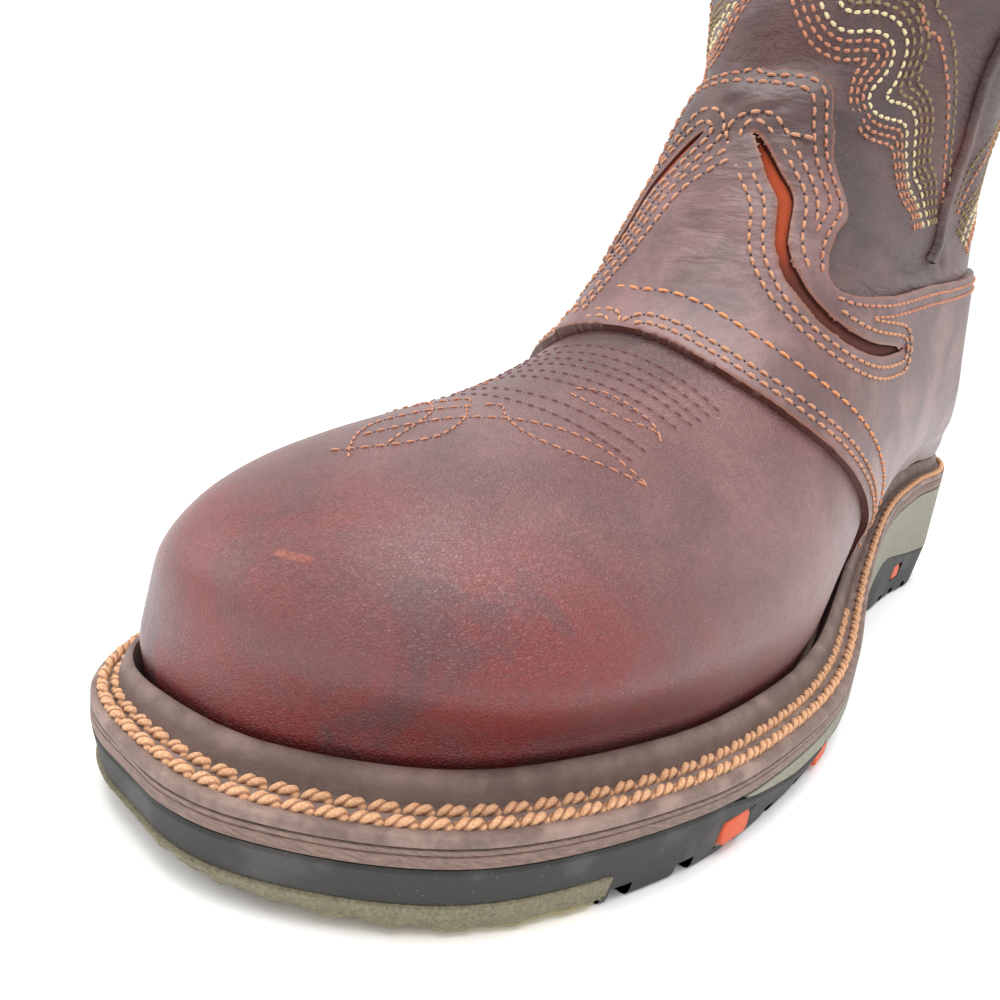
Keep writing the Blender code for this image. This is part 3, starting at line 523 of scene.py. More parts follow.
def welt_rings():
    """The welt's section carried round the outline: a flat strip, a stitch
    groove near its rim, and a bead whose section is a spline."""
    loop = outline()
    y = loop[:, 1]
    top = WELT + BEAD_HEIGHT
    crest, share = welt_room(loop)
    wide = BEAD_WIDTH * share
    corners = [(0 * y, GAP), (0 * y, WELT - 0.0006), (0.0005 * share, WELT),
               (0.0018 * share, WELT), (0.0025 * share, WELT - 0.0005), (0.0032 * share, WELT),
               (crest - 1.45 * wide, WELT), (crest - 1.12 * wide, WELT + 0.16 * BEAD_HEIGHT),
               (crest - 0.95 * wide, WELT + 0.52 * BEAD_HEIGHT),
               (crest - 0.72 * wide, top - 0.0011), (crest - 0.36 * wide, top - 0.0002),
               (crest - 0.10 * wide, top - 0.0003),
               (feather_inset(loop, top - 0.0012) - CURVED_GAP, top - 0.0016),
               (feather_inset(loop, 0.0) - CURVED_GAP, GAP)]
    rings = []
    for depth, rise in corners:
        edge = inset(loop, depth)
        rings.append(np.column_stack([edge, midsole_top(y) + rise]))
    return np.array(rings)


def welt_leather(place):
    """Brown, rubbed paler on the bead and the strip, with fine grain; painted shade in
    the stitch groove, beside the bead and against the upper; a darker bead top.
    """
    grain = place.noise(1.3, 5.0, 0.65)
    patch = place.noise(0.16, 4.0, 0.6)
    colour = patch.shade(0.35, 0.7, (104, 84, 76), (146, 122, 112))
    colour = (grain.step(0.5, 0.8) * 0.4).mix(colour, tint(150, 128, 118))
    # Painted shade in the stitch groove, at the bead's foot and down against the upper, with the
    # bead's own darker brown on its top.
    colour = (place.field("channel_shade_and_bead_tone") * 0.8).mix(colour, tint(70, 50, 42))
    return colour, 0.42 + 0.3 * grain, 0.22 * grain + 0.08 * place.noise(4.0, 3.0)


def carry(obj, name, values):
    """Gives the piece's mesh a value at each point, for its material."""
    field = obj.data.attributes.new(name, "FLOAT", "POINT")
    field.data.foreach_set("value", np.asarray(values, np.float32))


rings = welt_rings()
strip = new_mesh("welt_strip", rings, grid_faces(len(rings), rings.shape[1], True),
                 finish("welt_leather", welt_leather), 60)
# Per ring of the welt's section: how much painted shade lies there (groove, bead foot, against the
# upper) and how much darker brown the bead top is.
WELT_CHANNEL_SHADE_AND_BEAD_TONE = (0, 0, 0, 0, .2, 0, .35, 1, .9, .6, .42, .42, .8, 1)
carry(strip, "channel_shade_and_bead_tone", np.repeat(WELT_CHANNEL_SHADE_AND_BEAD_TONE, rings.shape[1]))
settled(strip, "welt", "welt")


def evenly(path, pitch):
    """The path's points spaced evenly by about one pitch."""
    run = np.concatenate([[0], np.cumsum(np.linalg.norm(np.diff(path[:, :3], axis=0), axis=1))])
    at = np.linspace(0, run[-1], max(int(round(run[-1] / pitch)), 1) + 1)
    return np.stack([np.interp(at, run, path[:, k]) for k in range(path.shape[1])], 1)


TWIST = 7.5


def stitches(path, normals, radius, fill=0.86, rings=7, around=6, rib=0.0, bow=0.55):
    """Points and faces of one capsule of thread for each step of a path.

    The radius falls to nothing at both ends, the middle bows up over the
    surface, and a rib turns it into two strands twisted together.
    """
    step = np.diff(path, axis=0)
    length = np.linalg.norm(step, axis=1)[:, None]
    ahead = step / length
    up = normals[1:] + normals[:-1]
    aside = np.cross(ahead, up)
    aside /= np.linalg.norm(aside, axis=1)[:, None]
    up = np.cross(aside, ahead)
    middle = (path[1:] + path[:-1]) / 2
    s = np.linspace(-1, 1, rings)[:, None]
    a = (np.arange(around) / around * 2 * math.pi)[None]
    thick = radius * np.sqrt(np.clip(1 - np.abs(s) ** 5, 0.01, 1))
    thick = thick * (1 + rib * np.cos(2 * a - TWIST * s))
    high = radius * bow * (1 - 2.2 * s ** 2) + thick * np.sin(a)
    wide = thick * np.cos(a)
    run = (s * fill)[None, ..., None] * length[:, None, None] / 2
    spots = (middle[:, None, None] + ahead[:, None, None] * run
             + up[:, None, None] * high[None, ..., None]
             + aside[:, None, None] * wide[None, ..., None])
    faces = grid_faces(rings, around, True)
    faces = faces[None] + (np.arange(len(middle)) * rings * around)[:, None, None]
    return spots.reshape(-1, 3), faces.reshape(-1, 4)


def joined(sets):
    """Several sets of points and faces as one."""
    starts = np.cumsum([0] + [len(points) for points, _ in sets])
    faces = [np.asarray(faces) + start for (_, faces), start in zip(sets, starts)]
    return np.concatenate([points for points, _ in sets]), np.concatenate(faces)


def peach_thread(place):
    """Waxed thread, peach, with painted shade between its two strands."""
    fuzz = place.noise(3.0, 4.0, 0.7)
    colour = fuzz.shade(0.3, 0.7, (186, 132, 94), (224, 180, 140))
    # Painted shade in the groove between the two twisted strands.
    colour = (place.field("turn").step(-0.2, -0.95) * 0.75).mix(colour, tint(120, 68, 42))
    return colour, 0.6 + 0.2 * fuzz, 0.15 * fuzz


WELT_ROWS = ((0.0024, 1.01), (0.0053, -0.02))
WELT_PITCH = 0.0047
WELT_THREAD = 0.00082
THREAD_RINGS = 17
THREAD_AROUND = 12


def welt_thread():
    """Two rows round the forefoot and one round waist and heel: paths at a
    set inset from the outline, on top of the welt."""
    loop = outline()
    sets = []
    for depth, back in WELT_ROWS:
        edge = inset(loop, depth * welt_room(loop)[1])
        path = np.column_stack([edge, midsole_top(edge[:, 1]) + WELT + 0.0002])
        first = int(np.argmax(loop[:, 1]))
        path = np.roll(path, -first, 0)
        if back > 1:
            path = np.vstack([path, path[:1]])
        else:
            path = path[path[:, 1] < back * HALF_LENGTH]
        path = evenly(path, WELT_PITCH)
        up = np.tile([0.0, 0.0, 1.0], (len(path), 1))
        sets.append(stitches(path, up, WELT_THREAD, 1.04, THREAD_RINGS, THREAD_AROUND, 0.20, 0.30))
    return joined(sets)


thread = new_mesh("welt_thread", *welt_thread(), finish("peach_thread", peach_thread))
s = np.linspace(-1, 1, THREAD_RINGS)[:, None]
a = np.arange(THREAD_AROUND)[None] / THREAD_AROUND * 2 * math.pi
# The twist's phase at each point, which places the painted shade between the strands.
carry(thread, "turn", np.resize(np.cos(2 * a - TWIST * s), len(thread.data.vertices)))
settled(thread, "welt")


# Insole: a dark foam and cloth footbed, laid loose inside.
def footbed(place):
    """Charcoal cloth with a fine weave."""
    weave = place.cells(1.4)
    colour = weave.mix(tint(52, 46, 44), tint(78, 70, 66))
    return colour, 0.85 + 0.1 * weave, 0.2 * weave


LEATHER = 0.0022


def bed_edge(loop):
    """How far in from the outline the footbed's edge lies."""
    return feather_inset(loop, 0.0) + LEATHER + 0.0025


bed = new_mesh("footbed", *layer((
    (bed_edge, seat), (bed_edge, lambda y: seat(y) + 0.0026),
    (lambda loop: bed_edge(loop) + 0.0006, lambda y: seat(y) + 0.0032))),
    finish("footbed", footbed), 40)
settled(bed, "insole", "insole")


# Upper: vamp, toe and shaft of oiled oxblood leather with a pebbled grain. It
# is lasted over a round toe cap, and the leather is pulled down to the welt.
INSTEP_HEIGHT = 0.100
SHAFT_HEIGHT = 0.322
SKIN_CROWD = 0.45
SECTION_COLUMNS = (
    "front", "instep", "shaft", "back", "rise", "mid_front", "mid_back",
    "outer", "inner", "belly", "round_front", "round_back", "crown", "closed",
)
SECTIONS = (
    (-.930, .000, .000, -.592, .000, -.17, -.03, .790, .800, .00, 2.00, 2.00, .000, 0),
    (-.943, .103, .000, -.586, .000, -.17, -.03, .800, .815, .08, 2.00, 2.00, .000, 0),
    (-.950, .205, .000, -.580, .000, -.17, -.03, .820, .835, .16, 2.05, 2.05, .000, 0),
    (-.938, .315, .000, -.574, .000, -.16, -.03, .835, .850, .22, 2.10, 2.10, .000, 0),
    (-.890, .415, .000, -.568, .000, -.15, -.03, .850, .860, .25, 2.10, 2.10, .000, 0),
    (-.819, .490, .000, -.560, .000, -.13, -.02, .862, .866, .26, 2.10, 2.10, .000, 0),
    (-.725, .545, .000, -.530, .000, -.12, -.01, .872, .868, .26, 2.10, 2.10, .000, 0),
    (-.618, .590, .000, -.490, .000, -.10, -.01, .876, .868, .26, 2.10, 2.10, .000, 0),
    (-.505, .640, .000, -.430, .000, -.08, .000, .876, .860, .26, 2.05, 2.05, .000, 0),
    (-.400, .718, .000, -.330, .000, -.07, .000, .866, .830, .26, 2.00, 2.00, .000, 0),
    (-.310, .825, .000, -.200, .000, -.06, .010, .840, .790, .26, 1.95, 2.00, .000, 0),
    (-.240, .935, .022, -.050, .000, -.05, .020, .780, .740, .28, 1.95, 2.00, .000, 0),
    (-.188, 1.00, .075, 0.126, .000, -.04, .020, .710, .680, .33, 2.00, 2.00, .000, 0),
    (-.156, 1.00, .124, 0.346, .000, -.03, .010, .665, .655, .38, 2.05, 2.00, .000, 0),
    (-.147, 1.00, .144, 0.475, .000, -.03, .010, .652, .650, .40, 2.08, 2.00, .000, 0),
    (-.138, 1.00, .164, 0.597, .000, -.02, .000, .640, .645, .42, 2.10, 2.00, .000, 0),
    (-.124, 1.00, .198, 0.800, .000, -.01, -.02, .625, .640, .45, 2.10, 2.00, .000, 0),
    (-.116, 1.00, .222, 0.915, .000, .000, -.04, .618, .640, .47, 2.10, 1.95, .000, 0),
    (-.110, 1.00, .240, 0.946, .000, .000, -.04, .612, .635, .48, 2.10, 1.90, .000, 1),
    (-.104, 1.00, .262, 0.958, .035, .000, -.04, .606, .630, .51, 2.10, 1.80, .000, 1),
    (-.097, 1.00, .288, 0.958, .090, .000, -.04, .600, .625, .54, 2.10, 1.68, .000, 1),
    (-.088, 1.00, .315, 0.938, .160, .000, -.03, .605, .625, .58, 2.10, 1.52, .000, 1),
    (-.081, 1.00, .345, 0.900, .235, .000, -.02, .635, .640, .62, 2.10, 1.42, .000, 1),
    (-.076, 1.00, .382, 0.865, .320, .010, -.01, .680, .670, .64, 2.10, 1.45, .000, 1),
    (-.076, 1.00, .435, 0.842, .412, .020, .000, .730, .710, .63, 2.05, 1.60, .000, 1),
    (-.082, 1.00, .523, 0.832, .515, .020, .000, .775, .750, .58, 2.00, 1.78, .020, 1),
    (-.093, 1.00, .655, 0.830, .650, .020, .000, .810, .785, .54, 2.00, 1.90, .030, 1),
    (-.105, 1.00, .820, 0.833, .800, .020, .020, .835, .815, .52, 2.00, 1.95, .045, 1),
    (-.112, 1.00, 1.00, 0.838, .950, .020, .020, .845, .830, .51, 2.00, 2.00, .060, 1),
)
SETTLE_HEIGHT = 0.022
SETTLE_FADE = 0.014
VAMP_ROWS = 11
VAMP_STEPS = 14
SHAFT_STEPS = 6
AROUND = 108


def feather_x(y, side):
    """Where the feather line lies across at y, on the outer or inner side."""
    loop = outline(6)
    line = inset(loop, feather_inset(loop, 0.0))
    half = len(line) // 2
    run = line[:half + 1] if side > 0 else np.vstack([line[half:], line[:1]])
    order = np.argsort(run[:, 1])
    return np.interp(y, run[order, 1], run[order, 0])


def section_side(row, side, around):
    """One half of each section as points from the front to the back: two
    quarters of a superellipse, stopped at the feather line."""
    c = {name: row[:, i:i + 1] for i, name in enumerate(SECTION_COLUMNS)}
    front_y = c["front"] * HALF_LENGTH
    shaft = SHAFT_HEIGHT - INSTEP_HEIGHT
    front_z = seat(front_y) + c["instep"] * (INSTEP_HEIGHT - seat(front_y)) + c["shaft"] * shaft
    back_y = c["back"] * HALF_LENGTH
    back_z = seat(back_y) + c["rise"] * (SHAFT_HEIGHT - HEEL_SEAT)
    reach = np.hypot(front_y - back_y, front_z - back_z)
    widest = c["belly"] * reach
    wide = side * c["outer" if side > 0 else "inner"] * HALF_BALL
    middle = c["mid_back"] * HALF_BALL
    foot = feather_x(back_y, side)
    share = np.clip((foot - middle) / (wide - middle), 0, 0.999) * (1 - c["closed"])
    flat = c["belly"] < 1e-3
    stop = np.where(flat, math.pi / 2, np.arcsin(share ** (c["round_back"] / 2)))
    angle = math.pi + (stop - math.pi) * np.linspace(0, 1, 241)[None]
    cosine = np.cos(angle)
    power = np.where(cosine < 0, c["round_front"], c["round_back"])
    bulge = np.abs(cosine) ** (2 / power)
    short = np.maximum(np.abs(np.cos(stop)) ** (2 / c["round_back"]), 1e-6)
    low = np.where(flat, widest, widest / short)
    along = np.where(cosine < 0, widest + bulge * (reach - widest), widest - bulge * low)
    q = along / reach
    ridge = (c["mid_back"] + (c["mid_front"] - c["mid_back"]) * q) * HALF_BALL
    x = ridge + (wide - ridge) * np.abs(np.sin(angle)) ** (2 / power)
    y = back_y + (front_y - back_y) * q
    z = back_z + (front_z - back_z) * q + c["crown"] * SHAFT_HEIGHT * 4 * q * (1 - q)
    points = np.stack([x, y, z], -1)
    run = np.cumsum(np.linalg.norm(np.diff(points, axis=1), axis=2), 1)
    run = np.concatenate([np.zeros((len(row), 1)), run], 1)
    run /= run[:, -1:]
    even = np.linspace(0, 1, around + 1)
    share_at = even - SKIN_CROWD * np.sin(2 * math.pi * even) / (2 * math.pi)
    return np.array([[np.interp(share_at, run[i], points[i, :, k]) for k in range(3)]
                     for i in range(len(row))]).transpose(0, 2, 1)


def settle(points):
    """Moves the foot of the upper onto the feather line, fading upwards."""
    height = points[:, 2] - seat(points[:, 1])
    low = np.flatnonzero(height < SETTLE_HEIGHT)
    spots, height = points[low], height[low]
    start = outline(6)
    edge = np.roll(start, -1, 0) - start
    fade = smooth((SETTLE_HEIGHT - height) / SETTLE_FADE)
    along = ((spots[:, None, :2] - start[None]) * edge[None]).sum(2) / (edge ** 2).sum(1)[None]
    away = spots[:, None, :2] - start[None] - np.clip(along, 0, 1)[..., None] * edge[None]
    distance = np.linalg.norm(away, axis=2)
    pick = distance.argmin(1)
    index = np.arange(len(spots))
    depth = distance[index, pick]
    inward = away[index, pick] / np.maximum(depth, 1e-9)[:, None]
    points[low, :2] += inward * ((feather_inset(spots, height) - depth) * fade)[:, None]
    return points


def skin_grid():
    """The last's skin as a grid of sections, from the inner side over the
    ridge to the outer side, and which of its rows are closed at the back."""
    rows = len(SECTIONS)
    vamp = np.arange(0, VAMP_ROWS, 1 / VAMP_STEPS)
    t = np.concatenate([vamp, np.arange(VAMP_ROWS, rows - 1 + 1e-6, 1 / SHAFT_STEPS)])
    table = spline(SECTIONS, t)
    closed = np.asarray(SECTIONS)[np.minimum(t.astype(int), rows - 1), -1] > 0
    table[:, SECTION_COLUMNS.index("closed")] = closed
    belly = SECTION_COLUMNS.index("belly")
    table[:, belly] = np.maximum(table[:, belly], 0)
    inner = section_side(table, -1, AROUND)
    outer = section_side(table, 1, AROUND)
    grid = np.concatenate([inner[:, :0:-1], outer], 1)
    grid = settle(grid.reshape(-1, 3)).reshape(grid.shape)
    return grid, closed


def normals_of(grid, closed):
    """The way out at each point of the grid, joined across the back seam."""
    across = np.gradient(grid, axis=1)
    across[closed, 0] = across[closed, -1] = grid[closed, 1] - grid[closed, -2]
    normal = np.cross(across, np.gradient(grid, axis=0))
    normal /= np.maximum(np.linalg.norm(normal, axis=2), 1e-12)[..., None]
    return -normal if normal[len(grid) // 3, 2 * AROUND // 3, 2] < 0 else normal


def skin_faces(closed, columns):
    """Two triangles for each cell, sewn together down the back seam."""
    number = np.arange(len(closed) * columns).reshape(len(closed), columns)
    number[closed, -1] = number[closed, 0]
    a, b, c, d = number[:-1, :-1], number[:-1, 1:], number[1:, 1:], number[1:, :-1]
    halves = np.stack([np.stack([a, b, c], -1), np.stack([a, c, d], -1)], 2)
    return halves.reshape(-1, 3)


skin, skin_closed = skin_grid()
skin_normal = normals_of(skin, skin_closed)
skin_triangles = skin_faces(skin_closed, skin.shape[1])
skin_tree = BVHTree.FromPolygons(skin.reshape(-1, 3).tolist(), skin_triangles.tolist())


def laid(path, lift=0.0):
    """The nearest places on the skin, lifted, with the way out at each."""
    spots, ways = [], []
    flat_normals = skin_normal.reshape(-1, 3)
    for point in path:
        place, _, index, _ = skin_tree.find_nearest(Vector(point))
        way = flat_normals[skin_triangles[index]].mean(0)
        way /= np.linalg.norm(way)
        spots.append(np.array(place) + way * lift)
        ways.append(way)
    return np.array(spots), np.array(ways)


def from_side(side, path):
    """Places on the skin seen from the side at along and up, in metres."""
    hits = [skin_tree.ray_cast(Vector((side * 0.2, y, z)), Vector((-side, 0, 0)))[0]
            for y, z in path]
    return np.array([hit for hit in hits if hit is not None])


CREASES = (
    ((.00, -.216, 1.065), (.135, -.209, 1.058), (.266, -.196, 1.037), 1.8, 0.55),
    ((.03, -.222, 1.042), (.183, -.214, 1.026), (.296, -.202, 1.002), 1.8, 0.50),
    ((.08, -.210, 1.080), (.170, -.201, 1.078), (.253, -.192, 1.063), 1.6, 0.35),
    ((-.01, -.143, 1.337), (.078, -.141, 1.324), (.201, -.112, 1.360), 1.6, 0.55),
    ((-.05, -.145, 1.322), (.015, -.139, 1.353), (.171, -.120, 1.362), 1.6, 0.45),
    ((-.01, -.134, 1.388), (.096, -.126, 1.397), (.189, -.109, 1.388), 2.4, 0.80),
    ((-.30, -.070, 1.430), (.020, -.120, 1.462), (.318, -.036, 1.481), 5.5, 2.20),
    ((.288, -.079, 1.358), (.365, -.050, 1.325), (.429, .028, 1.352), 2.2, 1.00),
    ((.305, -.075, 1.342), (.345, -.060, 1.306), (.427, .018, 1.325), 1.8, 0.45),
    ((.363, -.067, 1.273), (.403, -.025, 1.291), (.444, .025, 1.298), 1.7, 0.40),
    ((.378, -.070, 1.242), (.417, -.039, 1.240), (.452, .012, 1.257), 1.7, 0.35),
    ((.397, -.068, 1.214), (.434, -.030, 1.227), (.463, .007, 1.230), 1.7, 0.35),
    ((.412, -.069, 1.191), (.448, -.033, 1.196), (.474, .009, 1.208), 1.7, 0.30),
    ((.480, -.130, 1.005), (.515, -.041, 1.076), (.560, .063, 1.083), 2.2, 0.90),
    ((.504, -.110, .995), (.537, -.024, 1.051), (.575, .122, 1.082), 2.0, 0.70),
    ((.487, -.081, 1.066), (.511, -.061, 1.088), (.536, -.009, 1.105), 1.8, 0.50),
    ((.520, .060, 1.16), (.560, .150, 1.155), (.580, .240, 1.170), 5.0, -1.30),
    ((.546, -.060, .995), (.569, .060, 1.050), (.600, .270, 1.090), 2.6, 1.10),
    ((.582, .226, 1.160), (.594, .270, 1.110), (.601, .294, 1.073), 2.0, 0.70),
    ((.420, .023, 1.640), (.525, .130, 1.500), (.577, .215, 1.180), 5.0, -1.30),
    ((.600, .200, 1.600), (.600, .300, 1.420), (.600, .330, 1.200), 6.0, 1.20),
    ((-.20, -.080, 1.560), (.030, -.104, 1.575), (.240, -.060, 1.640), 7.0, -1.50),
    ((.62, .45, 1.32), (.50, .72, 1.42), (.10, .90, 1.36), 6.0, 1.60),
    ((.62, .35, 1.62), (.55, .62, 1.72), (.20, .84, 1.60), 6.5, 1.50),
    ((.30, -.03, 1.90), (.55, .10, 1.84), (.68, .30, 1.96), 7.0, 1.20),
)


size = np.array([HALF_BALL, HALF_LENGTH, INSTEP_HEIGHT])


def creased(grid, normal):
    """The skin with its creases: each is a trough, or a ridge where its depth
    is negative, along a curve through three places, with soft shoulders.
    A row holds its start, middle and end as shares of half ball, half length
    and instep height, then its width and depth in mm."""
    points = grid.reshape(-1, 3)
    move = np.zeros(len(points))
    for start, middle, end, wide, deep in CREASES:
        for side in (1, -1) if middle[0] > 0.25 else (1,):
            knots = np.array([start, middle, end]) * size * (side, 1, 1)
            path = laid(spline(knots, np.linspace(0, 2, 24)))[0]
            near = np.flatnonzero(np.linalg.norm(points - path[12], axis=1) < 0.075)
            gap = np.linalg.norm(points[near, None] - path[None], axis=2)
            fade = np.sin(math.pi * np.clip(gap.argmin(1) / 23, 0.03, 0.97)) ** 0.7
            gap = gap.min(1) * 1000 / wide
            move[near] += deep * fade * (0.4 * np.exp(-(gap - 1.8) ** 2) - np.exp(-gap ** 2))
    return grid + normal * (move * 0.001).reshape(grid.shape[:2])[..., None]


skin = creased(skin, skin_normal)
skin_normal = normals_of(skin, skin_closed)
skin_tree = BVHTree.FromPolygons(skin.reshape(-1, 3).tolist(), skin_triangles.tolist())


TOE_ROWS = (
    (-.360, -.70, .463), (-.379, -.70, .458), (-.397, -.70, .454), (-.413, -.69, .447),
    (-.436, -.67, .425), (-.457, -.60, .350), (-.507, -.68, .439), (-.538, -.68, .446),
)


def toe_channels(x, y):
    """How deep the toe's stitched lines lie: soft dips along rows across."""
    total = x * 0
    for row in TOE_ROWS:
        along, start, stop = np.array(row) * (HALF_LENGTH, HALF_BALL, HALF_BALL) * 1000
        off = y - float(along)
        inside = x.step(start, start + 5) * x.step(stop + 1, stop - 3)
        total = total + off.maths("ABSOLUTE", off).step(1.35, 0.0) * inside
    return total


def oxblood(place):
    """Oxblood leather: clouded red over brown, greyer mauve away from the low
    front as painted sheen, with pebbled grain that is coarser over the toe."""
    x, y, z = (place.part(axis) for axis in "XYZ")
    cloud = place.noise(0.035, 5.0, 0.62, 0.4)
    fine = place.noise(0.45, 5.0, 0.65)
    pebble = place.bent(0.8, 1.4).stretched(1.5, 1.1, 1.8).cells(1.0, "DISTANCE_TO_EDGE")
    pebble = pebble.step(0.0, 0.30)
    shaft = (z - 0.25 * y).step(86, 100)
    # low: the lower front, where the red shows deep; the greyer mauve base left above it is painted
    # sheen.
    low = (z * -1 - 0.45 * y + 24 * (cloud - 0.5)).step(-18, 22)
    colour = cloud.shade(0.30, 0.70, (100, 62, 62), (128, 88, 86))
    red = place.noise(0.045, 4.0, 0.6, 0.6).step(0.40, 0.62) * low
    colour = low.over(colour, (100, 36, 34), 0.8)
    colour = red.over(colour, (118, 27, 23), 0.8)
    dark = place.noise(0.055, 4.0, 0.55, 0.8).step(0.52, 0.66) * low
    colour = dark.over(colour, (76, 46, 50), 0.7)
    colour = (shaft * 0.9).mix(colour, cloud.shade(0.35, 0.65, (48, 27, 27), (84, 50, 48)))
    colour = ((1 - pebble) * 0.14).mix(colour, tint(56, 30, 32))
    off = y - 0.307 * x + 144.2
    scratch = off.maths("ABSOLUTE", off).step(0.7, 0.2) * x.step(2.5, 3.5) * x.step(9.5, 8.0)
    colour = (scratch * place.noise(1.5).step(0.35, 0.5) * 0.5).mix(colour, tint(170, 88, 62))
    colour = (fine.step(0.48, 0.72) * 0.25).mix(colour, tint(78, 46, 48))
    fold = place.stretched(0.10, 0.10, 0.34).noise(1.0, 3.0, 0.5, 0.6)
    lines = place.stretched(0.22, 0.22, 0.07).noise(1.0, 2.0, 0.4)
    lines = lines * (y.step(-66, -46) * (1 - shaft))
    pattern = toe_channels(x, y) * (1 - shaft)
    height = (0.13 * pebble + 0.12 * fine + 0.03 * place.noise(4.0, 3.0)
              + 2.4 * fold * shaft + 0.35 * lines - 0.55 * pattern)
    return colour, 0.34 + 0.22 * fine, height


ox_look = finish("oxblood_leather", oxblood, IOR=1.5, Coat_Weight=0.38, Coat_Roughness=0.40)
inside = (skin - skin_normal * LEATHER)[1::3, ::3]
upper = new_mesh("upper_leather", *joined([
    (skin.reshape(-1, 3), skin_triangles),
    (inside.reshape(-1, 3), skin_faces(skin_closed[1::3], inside.shape[1])[:, ::-1])]), ox_look)
settled(upper, "upper", "upper")


# Quarter: one overlay of smooth brown leather that makes the saddle, the
# instep tongue and the counter. Its edges are cut raw and sewn down.
OVERLAY = 0.0018
SLIT_WIDTH = 0.0034
QUARTER_FRONT = (
    (-.380, .990), (-.345, .880), (-.328, .822), (-.322, .784), (-.301, .740),
    (-.253, .681), (-.172, .609), (-.106, .550), (-.064, .510), (.013, .420),
    (.088, .250),
)
QUARTER_TOP = (
    (1.10, 1.19), (.630, 1.13), (.348, 1.06), (.175, 1.02), (.002, .975),
    (-.099, .962), (-.133, .980), (-.126, 1.04), (-.103, 1.09), (-.076, 1.14),
    (-.084, 1.25), (-.077, 1.41), (-.124, 1.43), (-.300, 1.43),
)
SLIT = (
    (.100, -.147, 1.283, .25), (.151, -.150, 1.244, .65), (.218, -.154, 1.191, 1.0),
    (.280, -.155, 1.145, .90), (.305, -.167, 1.095, .80), (.332, -.179, 1.041, .95),
    (.384, -.182, .990, 1.0), (.452, -.177, .941, 1.0), (.525, -.157, .901, .95),
    (.594, -.114, .867, .85), (.634, -.041, .851, .70), (.643, .070, .860, .25),
)


def clip(triangles, field):
    """Cuts triangles where the field crosses zero and keeps its positive side.

    Gives the new triangles, the cut edges, and for each new point the two old
    ones that it lies between and its share of the way.
    """
    positive = field[triangles] > 0
    count = positive.sum(1)
    whole = triangles[count == 3]
    parts, edges, pairs = [], [], []
    for number in (1, 2):
        some = triangles[count == number]
        odd = np.argmax(positive[count == number] == (number == 1), axis=1)
        turn = (odd[:, None] + np.arange(3)[None]) % 3
        some = np.take_along_axis(some, turn, 1)
        parts.append(some)
        pairs.append(np.concatenate([some[:, [0, 1]], some[:, [0, 2]]]))
    flat = np.sort(np.concatenate(pairs), axis=1)
    ends, back = np.unique(flat, axis=0, return_inverse=True)
    back = back.reshape(-1) + len(field)
    one, two = len(parts[0]), len(parts[1])
    ab1, ac1 = back[:one], back[one:2 * one]
    ab2, ac2 = back[2 * one:2 * one + two], back[2 * one + two:]
    b2, c2 = parts[1][:, 1], parts[1][:, 2]
    made = [whole, np.stack([parts[0][:, 0], ab1, ac1], 1),
            np.stack([ab2, b2, c2], 1), np.stack([ab2, c2, ac2], 1)]
    edges = np.concatenate([np.stack([ab1, ac1], 1), np.stack([ac2, ab2], 1)])
    f0, f1 = field[ends[:, 0]], field[ends[:, 1]]
    return np.concatenate(made), edges, ends, f0 / (f0 - f1)


def in_polygon(points, corners):
    """Whether each point lies inside a closed outline (even and odd rule)."""
    inside = np.zeros(len(points), bool)
    for (y0, z0), (y1, z1) in zip(corners, np.roll(corners, -1, 0)):
        spans = (z0 > points[:, 1]) != (z1 > points[:, 1])
        across = y0 + (points[:, 1] - z0) * (y1 - y0) / (z1 - z0 + 1e-12)
        inside ^= spans & (points[:, 0] < across)
    return inside


def distance_to(points, path, chunk=4000):
    """Least distance from each point to a dense path."""
    return np.concatenate([
        np.sqrt(((points[i:i + chunk, None] - path[None]) ** 2).sum(2).min(1))
        for i in range(0, len(points), chunk)])


def curve(points, pitch=0.0006):
    """A spline through the points, spaced by about a pitch."""
    p = np.asarray(points, float)
    return evenly(spline(p, np.linspace(0, len(p) - 1, 60 * len(p))), pitch)


def quarter_outline():
    """The quarter's edge seen from the side: front, foot, back and top."""
    front = curve(np.array(QUARTER_FRONT) * size[1:])
    y = np.linspace(0.04, 1.1, 60) * HALF_LENGTH
    foot = np.column_stack([y, profile(y, "midsole") + MIDSOLE + WELT + BEAD_HEIGHT + 2 * GAP])
    front = front[(front[:, 1] > np.interp(front[:, 0], foot[:, 0], foot[:, 1]))]
    foot = foot[foot[:, 0] > front[-1, 0]]
    top = np.array(QUARTER_TOP) * size[1:]
    return front, foot, curve(top[:-1]), top[-1:]


q_front, q_foot, q_top, q_crown = quarter_outline()
q_polygon = np.concatenate([q_front, q_foot, q_top, q_crown])
slit_paths = {side: laid(curve(np.array(SLIT)[:, :3] * size * (side, 1, 1)))[0]
              for side in (1, -1)}
slit_wide = curve(SLIT, 0.004)[:, 3]


def along_slit(path):
    """The slit's share of its full width at each point of a path along it."""
    return np.interp(np.linspace(0, 1, len(path)), np.linspace(0, 1, len(slit_wide)), slit_wide)


def edge_gaps(points):
    """Distances on the skin from the quarter's front, foot and top edges and
    from the slits."""
    gaps = [distance_to(points, np.concatenate([from_side(side, part) for side in (1, -1)]))
            for part in (q_front, q_foot, q_top)]
    near = np.full(len(points), 1.0)
    close = np.flatnonzero(np.abs(points[:, 2] - 0.105) < 0.05)
    for side in (1, -1):
        path = slit_paths[side]
        gap = np.sqrt(((points[close, None] - path[None]) ** 2).sum(2))
        gap = gap - along_slit(path)[None] * SLIT_WIDTH / 2
        near[close] = np.minimum(near[close], gap.min(1))
    return (*gaps, near)


